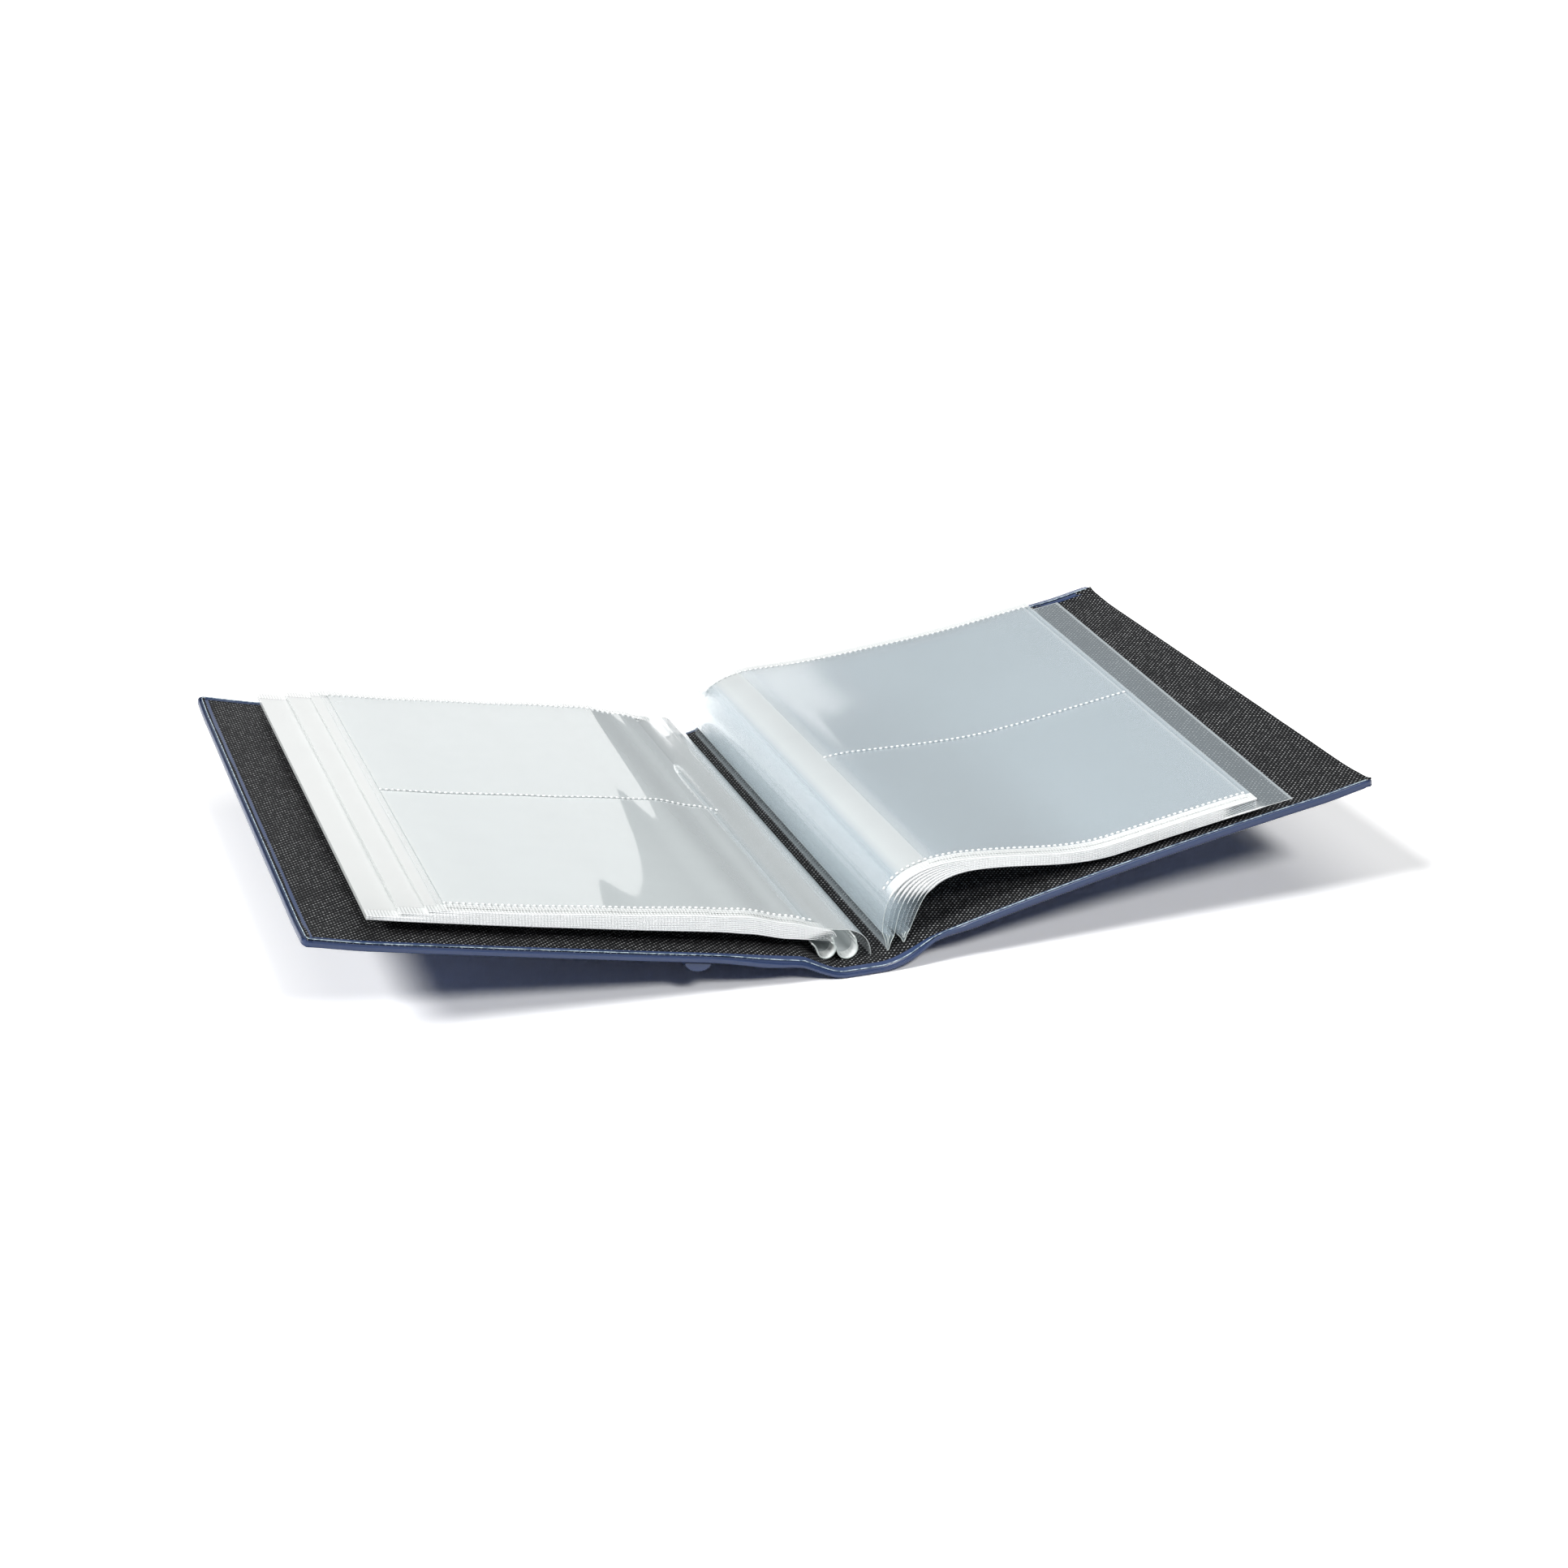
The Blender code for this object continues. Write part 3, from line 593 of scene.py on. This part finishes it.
def innerLining(side):
    half = covers[side]
    wide = half["length"] - liningForm["fore"][side] * mm
    high = coverForm["halfHeight"] * mm - liningForm["edge"] * mm

    def place(u, v):
        along = u * wide
        y = (v * 2 - 1) * high
        scale = liningForm["rippleScale"]
        ripple = noise.noise(Vector((along * scale, y * scale, liningForm["rippleSeed"] + side)))
        ripple *= liningForm["ripple"] * mm * eased(along / (liningForm["rippleRun"] * mm))
        return coverSpot(side, along, y, ripple + liningForm["lap"][side] * mm * foreShare(side, along))

    obj = newSheet(half["name"] + "_linen_lining", liningForm["across"], liningForm["along"], place)
    if side < 0:
        obj.data.flip_normals()
    applyModifier(obj, "SOLIDIFY", thickness=coverForm["liningThick"] * mm, offset=-1.0)
    smoothShade(obj, 50)
    paint(obj, liningFinish)
    return obj


weldForm = {"edge": 1.15, "fore": {-1: 1.1, 1: 1.0}, "radius": 0.19, "pitch": 1.15, "turn": 2.0,
            "turnCut": 0.3, "lift": 0.3, "neck": 0.7}


# toothed weld line between the blue edge and the lining
def edgeWeld(side):
    half = covers[side]
    far = half["length"] - weldForm["fore"][side] * mm
    high = coverForm["halfHeight"] * mm - weldForm["edge"] * mm
    turn = weldForm["turn"] * mm
    cut = weldForm["turnCut"] * turn
    route = [(0.0, -high), (far - turn, -high), (far - cut, -high + cut), (far, -high + turn),
             (far, high - turn), (far - cut, high - cut), (far - turn, high), (0.0, high)]
    points = []
    radii = []
    for start, stop in zip(route, route[1:]):
        span = sqrt((stop[0] - start[0]) ** 2 + (stop[1] - start[1]) ** 2)
        steps = max(int(span / (weldForm["pitch"] * mm / 2)), 1)
        for step in range(steps):
            share = step / steps
            along = mixed(start[0], stop[0], share)
            y = mixed(start[1], stop[1], share)
            points.append(coverSpot(side, along, y, weldForm["lift"] * mm))
            radii.append(weldForm["radius"] * mm * (1.0 if len(radii) % 2 else weldForm["neck"]))
    obj = newBead(half["name"] + "_edge_weld", points, radii)
    smoothShade(obj, 60)
    paint(obj, lineFinish)
    return obj


for side, half in covers.items():
    skin = outerFilm(side)
    if side < 0:
        skin = joinPieces([skin, coverRib(side)], skin.name)
    lining = innerLining(side)
    weld = edgeWeld(side)
    for obj, nodes, slot in ((skin, "skin", "blue_film"), (lining, "lining", "black_lining"),
                             (weld, "", "blue_film")):
        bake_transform(obj)
        if nodes:
            spineNode = ["spine_" + nodes] if side < 0 else []
            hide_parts(half["name"] + "_" + nodes, *spineNode)
for name in ("front_board", "back_board", "spine_card"):
    paint(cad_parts[name], boardFinish)
print("covers made")


# leaves

leafForm = {"halfHeight": 111.0, "thick": 0.3, "wave": {-1: 0.28, 1: 0.4}, "waveLoss": 0.05,
            "slowWave": (14, 11, 5.0), "quickWave": (33, 24, 9.0), "quickShare": 0.2, "calm": 26,
            "calmRun": 40}
archForm = {"fall": 2.2, "foot": 10, "rise": 24, "crest": 38, "run": 62}
edgeY = leafForm["halfHeight"] * mm


def waveAt(form, side, x, y):
    wide, high, seed = form
    return noise.noise(Vector((x * wide, y * high, seed + side)))


# rise of a page over its even form
def pageWave(side, x, y):
    quick = leafForm["quickShare"] * waveAt(leafForm["quickWave"], side, x, y)
    slow = waveAt(leafForm["slowWave"], side, x, y) + quick
    return (0.5 + 0.5 * slow) * leafForm["wave"][side] * mm


# the lower leaves of a stack wave less
def leafWave(number):
    return 1.0 - leafForm["waveLoss"] * (number - 1)


# the arch over the gutter stands lower at the far end
def archFall(side, point, across):
    if side < 0:
        return 0.0
    rise = eased((point.y - archForm["foot"] * mm) / (archForm["rise"] * mm))
    past = eased((point.x - archForm["crest"] * mm) / (archForm["run"] * mm))
    return archForm["fall"] * mm * across * rise * (1 - past)


# a point of a leaf: share of its length from the gutter, y, and above its middle
def leafSpot(side, lines, share, y, above, wave):
    across = (y / mm + leafForm["halfHeight"]) / (2 * leafForm["halfHeight"])
    near, nearWay = lineAt(lines[0], share)
    far, farWay = lineAt(lines[1], share)
    point = near.lerp(far, across)
    way = nearWay.lerp(farWay, across).normalized()
    up = Vector((-way.y, way.x)) * side
    calm = eased((abs(point.x) - leafForm["calm"] * mm) / (leafForm["calmRun"] * mm))
    lift = above + wave * pageWave(side, point.x, y) * calm
    fall = archFall(side, point, across)
    return Vector((point.x + up.x * lift, y + point.z, point.y + up.y * lift - fall))


edgeForm = {"pitch": 2.2, "left": 0.44, "leftRoot": 0.36, "leftFore": 0.16, "crest": 0.72, "right": 0.36,
            "thin": 0.08, "fold": 0.34, "veeFold": 0.17, "grow": 6.0, "noFade": -9.0, "rootRun": 40.0,
            "foreRun": 14.0, "crestEnd": 4.0, "crestRun": 22.0, "neck": 0.95, "foldSteps": 40}


# share of the welded band at a reach: none by the plain root and in the last fade millimetres
def edgeGrowth(reach, length, plain, fade):
    return eased((reach - plain) / edgeForm["grow"]) * eased((length - reach - fade) / edgeForm["grow"])


# a film between its near and its far line, with plain, fade and the reach for milk in mm
def leafFilm(name, side, lines, finish, grid, low=-edgeY, high=edgeY, start=0.0, stop=1.0, above=0.0,
             thick=leafForm["thick"], wave=1.0, plain=0.0, fade=edgeForm["noFade"], milk=lambda reach: 1.0):
    length = lineLength(lines[0])

    def place(u, v):
        return leafSpot(side, lines, mixed(start, stop, u), mixed(low, high, v), above, wave)

    def reach(u):
        return mixed(start, stop, u) * length / mm

    measures = {"fore": lambda u, v: (stop - mixed(start, stop, u)) * length,
                "across": lambda u, v: mixed(low, high, v),
                "band": lambda u, v: edgeGrowth(reach(u), length / mm, plain, fade),
                "milk": lambda u, v: milk(reach(u))}
    obj = newSheet(name, *grid, place, measures)
    applyModifier(obj, "SOLIDIFY", thickness=thick * mm, offset=0.0)
    smoothShade(obj, 50)
    paint(obj, finish)
    return obj


# welded bead along a leaf's near or far edge, from where the plain film by its root ends
def leafEdge(name, side, lines, y, wave, plain, fade=edgeForm["noFade"]):
    length = lineLength(lines[0])
    begin = plain * mm / length
    steps = int((1 - begin) * length / (edgeForm["pitch"] * mm / 2))
    points = []
    radii = []
    for step in range(steps + 1):
        share = mixed(begin, 1.0, step / steps)
        reach = share * length / mm
        points.append(leafSpot(side, lines, share, y, 0.0, wave))
        if side < 0:
            base = mixed(edgeForm["leftRoot"], edgeForm["left"], eased((reach - plain) / edgeForm["rootRun"]))
            base = mixed(edgeForm["leftFore"], base, eased((length / mm - reach) / edgeForm["foreRun"]))
        else:
            past = (reach - plain - edgeForm["crestEnd"]) / edgeForm["crestRun"]
            base = mixed(edgeForm["crest"], edgeForm["right"], eased(past))
        grown = edgeGrowth(reach, length / mm, plain, fade)
        radii.append(mixed(edgeForm["thin"], base, grown) * mm * (1.0 if step % 2 else edgeForm["neck"]))
    obj = newBead(name, points, radii)
    smoothShade(obj, 70)
    paint(obj, weldFinish)
    return obj


# rounded end of a fold's film
def foldRim(name, side, lines, y, radius, stop=1.0):
    steps = edgeForm["foldSteps"]
    points = [leafSpot(side, lines, stop * step / steps, y, 0.0, 0.0) for step in range(steps + 1)]
    obj = newBead(name, points, [radius * mm] * len(points))
    smoothShade(obj, 70)
    paint(obj, rimFinish)
    return obj


dotForm = {"pitch": 2.2, "long": 0.72, "wide": 0.5, "high": 0.34, "lift": 0.75, "stop": 0.99,
           "start": {-1: (0.17, 0.17, 0.17), 1: (0.085, 0.20, 0.10)}, "rows": (-105.2, 0.0, 105.2),
           "size": (1.0, 1.0, 0.9)}


# a row of weld dots along a leaf
def weldDots(name, side, lines, y, start, wave, size):
    startFresh()
    bpy.ops.mesh.primitive_uv_sphere_add(segments=8, ring_count=5, radius=1)
    first = bpy.context.object
    first.name = name
    shape = [vertex.co.copy() for vertex in first.data.vertices]
    stop = dotForm["stop"]
    above = dotForm["lift"] * mm
    length = lineLength(lines[0])
    count = max(int((stop - start) * length / (dotForm["pitch"] * mm)), 1)
    dots = [first]
    for index in range(1, count):
        copy = first.copy()
        copy.data = first.data.copy()
        bpy.context.collection.objects.link(copy)
        dots.append(copy)
    for index, dot in enumerate(dots):
        share = mixed(start, stop, (index + 0.5) / count)
        for vertex, corner in zip(dot.data.vertices, shape):
            along = share + corner.x * dotForm["long"] * mm * size / length
            vertex.co = leafSpot(side, lines, along, y + corner.y * dotForm["wide"] * mm * size,
                                 above + corner.z * dotForm["high"] * mm * size, wave)
        dot.data.update()
    obj = joinPieces(dots, name)
    bpy.ops.object.mode_set(mode="EDIT")
    bpy.ops.mesh.select_all(action="SELECT")
    bpy.ops.mesh.normals_make_consistent(inside=False)
    bpy.ops.object.mode_set(mode="OBJECT")
    smoothShade(obj, 80)
    paint(obj, weldFinish)
    return obj


# the rows of dots on a top leaf
def dotRows(name, side, lines, wave):
    rows = zip(dotForm["rows"], dotForm["start"][side], dotForm["size"])
    return [weldDots(name, side, lines, y * mm, start, wave, size) for y, start, size in rows]


# the line through one or more CAD films, at the near end and at the far one
def leafLines(steps, *nodes):
    ends = []
    for far in (False, True):
        points = [point for node in nodes for point in filmLine(node, far)]
        ends.append(evenLine(points, steps))
    return ends


# rise of the left stack's top and bottom leaf over the even fan, from marks of (x, rise) in mm
stackForm = {"count": 9,
             "top": ((-170.0, -1.5), (-128.0, -1.4), (-86.0, -0.5), (-53.0, 0.85), (-42.0, 1.4),
                     (-27.0, -0.2), (-14.0, -1.8), (-4.0, -1.5), (3.0, 0.0)),
             "bottom": ((-128.0, 0.4), (-86.0, 0.6), (-53.0, 0.8), (-42.0, 0.4), (-27.0, -1.1),
                        (-12.0, -1.5))}


def swollen(line, number):
    share = (number - 1) / (stackForm["count"] - 1)
    moved = []
    for point in line:
        top = marked(stackForm["top"], point.x / mm)
        bottom = marked(stackForm["bottom"], point.x / mm)
        moved.append(point + Vector((0, mixed(top, bottom, share) * mm, 0)))
    return moved


# lengths in mm: milk is (at first, at last, from where, over how far)
leftForm = {"drop": (2.6, 1.2), "tipOut": 1.9, "bendOut": 1.2, "bendDrop": 0.35, "topPlain": 22.0,
            "plain": (0.0, 8.0), "topMilk": (2.4, 1.0, 24.0, 20.0), "milk": (1.0, 4.2, 120.0, 14.0),
            "topSteps": 120, "steps": 80, "topGrid": (110, 48), "grid": (48, 20)}


def leftMilk(marks, reach):
    first, last, start, run = marks
    return mixed(first, last, eased((reach - start) / run))


# how far down the stack a leaf lies, counted from the one below the top
def leftShare(number):
    return (number - 2) / (stackForm["count"] - 2)


# the left leaves' roots hang down a little towards the loops
def bentRoot(line, number):
    drop = mixed(*leftForm["drop"], leftShare(number)) * mm
    tip = line[0] + Vector((leftForm["tipOut"] * mm, -drop, 0))
    bend = line[0] + Vector((leftForm["bendOut"] * mm, -leftForm["bendDrop"] * drop, 0))
    return [tip, bend] + line


# left leaves, the top one running on over the gutter to its root on the spine
def leftLeaf(number):
    node = "left_leaf_%d" % number
    name = "left_page_%d" % number
    wave = leafWave(number)
    if number == 1:
        lines = leafLines(leftForm["topSteps"], "left_root_strip", node)
        lines = [swollen(line, number) for line in lines]
        plain = leftForm["topPlain"]
        obj = leafFilm(name, -1, lines, leftFinish, leftForm["topGrid"], wave=wave, plain=plain,
                       milk=lambda reach: leftMilk(leftForm["topMilk"], reach))
    else:
        lines = [bentRoot(filmLine(node, far), number) for far in (False, True)]
        lines = [swollen(evenLine(line, leftForm["steps"]), number) for line in lines]
        plain = mixed(*leftForm["plain"], leftShare(number))
        obj = leafFilm(name, -1, lines, leftFinish, leftForm["grid"], wave=wave, plain=plain,
                       milk=lambda reach: leftMilk(leftForm["milk"], reach))
    parts = [obj]
    for y in (-edgeY, edgeY):
        parts.append(leafEdge(name + "_edge", -1, lines, y, wave, plain))
    if number == 1:
        parts += dotRows("left_dots", -1, lines, wave)
    obj = joinPieces(parts, name)
    if number == 1:
        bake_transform(obj)
        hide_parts(node, "left_root_strip")
    else:
        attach(obj, "left_leaves")
        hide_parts(node)
    return lines


leftLines = [leftLeaf(number) for number in range(1, stackForm["count"] + 1)]

pocketForm = {"start": {-1: 0.19, 1: 0.205}, "stop": 0.985, "outer": 108.5, "inner": 0.8, "gap": 0.45,
              "thick": 0.2, "grid": (70, 26), "finish": {-1: leftPocketFinish, 1: rightPocketFinish}}


# pocket film on the near or the far half of a top leaf
def pocketFilm(name, side, lines, node, low, high, body):
    obj = leafFilm(name, side, lines, pocketForm["finish"][side], pocketForm["grid"], low * mm, high * mm,
                   pocketForm["start"][side], pocketForm["stop"], pocketForm["gap"] * mm, pocketForm["thick"])
    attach(obj, body)
    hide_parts(node)


def pocketPair(word, side, lines, body):
    outer = pocketForm["outer"]
    inner = pocketForm["inner"]
    pocketFilm(word + "_pocket_near", side, lines, word + "_lower_pocket", -outer, -inner, body)
    pocketFilm(word + "_pocket_far", side, lines, word + "_upper_pocket", inner, outer, body)


pocketPair("left", -1, leftLines[0], "left_leaves")

loopForm = {"filmHalf": 0.15, "armOut": 2.2, "armHigh": 3.2, "bendOut": 0.9, "bendHigh": 1.6, "from": 200,
            "turn": 190, "turnSteps": 8, "neckIn": 0.5, "neckHigh": 2.6, "tipIn": 1.2, "tipHigh": 4.2,
            "thick": 0.5, "plain": -5.0, "steps": 48, "grid": (48, 16)}


# loops that hang where the left leaves fold at the gutter, each in the place of its CAD loop
def foldLoop(number):
    node = "left_loop_%d" % number
    low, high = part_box(node)
    middle = Vector(((low.x + high.x) / 2, (low.z + high.z) / 2, 0))
    radius = (high.x - low.x) / 2 - loopForm["filmHalf"] * mm
    points = [middle + Vector((-radius - loopForm["armOut"] * mm, loopForm["armHigh"] * mm, 0)),
              middle + Vector((-radius - loopForm["bendOut"] * mm, loopForm["bendHigh"] * mm, 0))]
    for step in range(loopForm["turnSteps"] + 1):
        angle = radians(loopForm["from"] + loopForm["turn"] * step / loopForm["turnSteps"])
        points.append(middle + Vector((cos(angle), sin(angle), 0)) * radius)
    points.append(middle + Vector((radius - loopForm["neckIn"] * mm, loopForm["neckHigh"] * mm, 0)))
    points.append(middle + Vector((radius - loopForm["tipIn"] * mm, loopForm["tipHigh"] * mm, 0)))
    line = evenLine(points, loopForm["steps"])
    lines = (line, line)
    obj = leafFilm("left_fold_%d" % number, -1, lines, foldFinish, loopForm["grid"], thick=loopForm["thick"],
                   wave=0.0, plain=loopForm["plain"])
    parts = [obj]
    for y in (-edgeY, edgeY):
        parts.append(foldRim("loop_edge", -1, lines, y, edgeForm["fold"]))
    obj = joinPieces(parts, "left_fold_%d" % number)
    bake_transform(obj)
    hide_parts(node)


for number in (1, 2):
    foldLoop(number)
print("left leaves made")


# milk is (base, rise, from where, over how far, fall, from where, over how far)
rightForm = {"count": 8, "plain": 12.0, "fade": 9.0, "milk": (1.1, 2.7, 16.0, 8.0, 2.8, 34.0, 6.0),
             "topSteps": 140, "steps": 120, "topGrid": (120, 48), "grid": (70, 20), "rims": (1, 4, 8),
             "rim": 14}


# the top leaf is milky between its riser and the mouth of its pockets
def topMilk(reach):
    base, rise, riseStart, riseRun, fall, fallStart, fallRun = rightForm["milk"]
    return base + rise * eased((reach - riseStart) / riseRun) - fall * eased((reach - fallStart) / fallRun)


# right leaves, the top one with the part of its arch that is a body of its own
def rightLeaf(number):
    node = "right_leaf_%d" % number
    name = "right_page_%d" % number
    fade = edgeForm["noFade"] if number == 1 else rightForm["fade"]
    plain = rightForm["plain"]
    wave = leafWave(number)
    if number == 1:
        lines = leafLines(rightForm["topSteps"], "right_leaf_1_root", node)
        obj = leafFilm(name, 1, lines, rightFinish, rightForm["topGrid"], wave=wave, plain=plain, fade=fade,
                       milk=topMilk)
    else:
        lines = leafLines(rightForm["steps"], node)
        obj = leafFilm(name, 1, lines, rightFinish, rightForm["grid"], wave=wave, plain=plain, fade=fade)
    parts = [obj]
    rimStop = rightForm["rim"] * mm / lineLength(lines[0])
    for y in (-edgeY, edgeY):
        parts.append(leafEdge(name + "_edge", 1, lines, y, wave, plain, fade))
        if number in rightForm["rims"]:
            parts.append(foldRim(name + "_rim", 1, lines, y, edgeForm["thin"], rimStop))
    if number == 1:
        parts += dotRows("right_dots", 1, lines, wave)
    obj = joinPieces(parts, name)
    if number == 1:
        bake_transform(obj)
        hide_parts(node, "right_leaf_1_root")
    else:
        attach(obj, {2: "second_leaf", 3: "third_leaf"}.get(number, "right_leaves"))
        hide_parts(node)
    return lines


rightLines = {number: rightLeaf(number) for number in range(1, rightForm["count"] + 1)}
pocketPair("right", 1, rightLines[1], "top_leaf")

veeForm = {"bow": 0.25, "plain": 99.0, "milk": 2.6, "steps": 48, "grid": (48, 16)}


# sharp folds that join the right leaves in pairs above the spine
def foldVee(number, first, second):
    node = "right_fold_%d" % number
    bow = Vector((veeForm["bow"] * mm, 0, 0))
    lines = []
    for far in (0, 1):
        points = sorted(filmPoints(node, bool(far)), key=lambda point: point.x)
        start = rightLines[first][far][0]
        stop = rightLines[second][far][0]
        left = start.lerp(points[1], 0.5) + bow
        right = stop.lerp(points[-2], 0.5) - bow
        lines.append(evenLine([start, left, points[1], points[-2], right, stop], veeForm["steps"]))
    obj = leafFilm("right_vee_%d" % number, 1, lines, rightFinish, veeForm["grid"], wave=0.0,
                   plain=veeForm["plain"], milk=lambda reach: veeForm["milk"])
    parts = [obj]
    for y in (-edgeY, edgeY):
        parts.append(foldRim("vee_edge", 1, lines, y, edgeForm["veeFold"]))
    obj = joinPieces(parts, "right_vee_%d" % number)
    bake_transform(obj)
    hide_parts(node)


for number, first, second in ((1, 1, 4), (2, 2, 3), (3, 5, 8), (4, 6, 7)):
    foldVee(number, first, second)
print("right leaves made")


# floor, light and camera

studio = {"floor": 12.0, "floorDrop": 0.05 * mm, "floorTone": (0.60, 0.60, 0.61, 1),
          "floorShown": (1.28, 1.28, 1.28, 1), "keyFrom": (-0.70, -0.22, 0.68), "key": 2.75, "keyAngle": 14.0,
          "fillFrom": (0.08, -0.72, 0.68), "fill": 1.55, "fillAngle": 12.0, "top": 28.0, "topHigh": 3.0,
          "topSize": 3.0, "cardGlow": 1.1, "cardLeft": -1.6, "cardRight": 0.49, "cardBack": 1.3,
          "cardTop": (0.62, 0.555), "ambient": 0.04, "mirror": 0.35}


def studioFloor():
    material, tree, out = newMaterial("pale studio floor")[:3]
    path = addNode(tree, "LightPath")
    seen = calc(tree, "MAXIMUM", path.outputs["Is Camera Ray"], path.outputs["Is Glossy Ray"])
    seen = calc(tree, "MAXIMUM", seen, path.outputs["Is Transmission Ray"])
    colour = tinted(tree, seen, studio["floorTone"], studio["floorShown"])
    shader = addNode(tree, "BsdfDiffuse", {"Color": colour})
    tree.links.new(shader.outputs[0], out.inputs["Surface"])
    startFresh()
    bpy.ops.mesh.primitive_plane_add(size=studio["floor"])
    floor = bpy.context.object
    floor.name = "studio_floor"
    for vertex in floor.data.vertices:
        vertex.co.z = -studio["floorDrop"]
    paint(floor, material)


# white card behind the album, which the glossy films show
def studioCard():
    material, tree, out = newMaterial("white card")[:3]
    path = addNode(tree, "LightPath")
    glow = addNode(tree, "Emission", {"Color": (1, 1, 1, 1), "Strength": studio["cardGlow"]})
    clear = addNode(tree, "BsdfTransparent")
    seen = calc(tree, "MAXIMUM", path.outputs["Is Glossy Ray"], path.outputs["Is Camera Ray"])
    shader = addNode(tree, "MixShader", {0: seen, 1: clear.outputs[0], 2: glow.outputs[0]})
    tree.links.new(shader.outputs[0], out.inputs["Surface"])
    startFresh()
    bpy.ops.mesh.primitive_plane_add(size=1, rotation=(pi / 2, 0, 0))
    card = bpy.context.object
    card.name = "studio_card"
    bpy.ops.object.transform_apply(location=False, rotation=True, scale=False)
    for vertex in card.data.vertices:
        right = vertex.co.x > 0
        top = studio["cardTop"][1 if right else 0] if vertex.co.z > 0 else 0.0
        x = studio["cardRight" if right else "cardLeft"]
        vertex.co = Vector((x, studio["cardBack"], top))
    paint(card, material)


def studioSun(name, comesFrom, strength, angle):
    startFresh()
    bpy.ops.object.light_add(type="SUN", location=Vector(comesFrom))
    lamp = bpy.context.object
    lamp.name = name
    lamp.data.energy = strength
    lamp.data.angle = radians(angle)
    lamp.rotation_euler = Vector(comesFrom).to_track_quat("Z", "Y").to_euler()


def studioTop():
    startFresh()
    bpy.ops.object.light_add(type="AREA", location=(0, 0, studio["topHigh"]))
    lamp = bpy.context.object
    lamp.name = "top"
    lamp.data.energy = studio["top"]
    lamp.data.size = studio["topSize"]


studioFloor()
studioCard()
studioTop()
studioSun("key", studio["keyFrom"], studio["key"], studio["keyAngle"])
studioSun("fill", studio["fillFrom"], studio["fill"], studio["fillAngle"])

world = bpy.data.worlds.new("studio")
bpy.context.scene.world = world
world.use_nodes = True
tree = world.node_tree
tree.nodes.clear()
out = tree.nodes.new("ShaderNodeOutputWorld")
path = addNode(tree, "LightPath")
soft = addNode(tree, "Background", {"Color": (0.93, 0.97, 1.0, 1), "Strength": studio["ambient"]})
mirror = addNode(tree, "Background", {"Color": (0.92, 0.96, 1.0, 1), "Strength": studio["mirror"]})
white = addNode(tree, "Background", {"Color": (1, 1, 1, 1), "Strength": 1.0})
shown = addNode(tree, "MixShader", {0: path.outputs["Is Glossy Ray"], 1: soft.outputs[0],
                                    2: mirror.outputs[0]})
whole = addNode(tree, "MixShader", {0: path.outputs["Is Camera Ray"], 1: shown.outputs[0],
                                    2: white.outputs[0]})
tree.links.new(whole.outputs[0], out.inputs["Surface"])

view = {"azimuth": -18.82, "elevation": 23.33, "distance": 1.04427, "lens": 61.95, "sensor": 36.0,
        "shiftX": 0.01547, "shiftY": 0.03933, "clipEnd": 40.0}
startFresh()
bpy.ops.object.camera_add()
camera = bpy.context.object
turn = radians(view["azimuth"])
tilt = radians(view["elevation"])
camera.location = Vector((sin(turn) * cos(tilt), -cos(turn) * cos(tilt), sin(tilt))) * view["distance"]
camera.rotation_euler = camera.location.to_track_quat("Z", "Y").to_euler()
camera.data.lens = view["lens"]
camera.data.sensor_width = view["sensor"]
camera.data.shift_x = view["shiftX"]
camera.data.shift_y = view["shiftY"]
camera.data.clip_end = view["clipEnd"]
bpy.context.scene.camera = camera
bpy.context.scene.view_settings.view_transform = "Standard"
bpy.context.scene.cycles.transparent_max_bounces = 48
print("studio made")
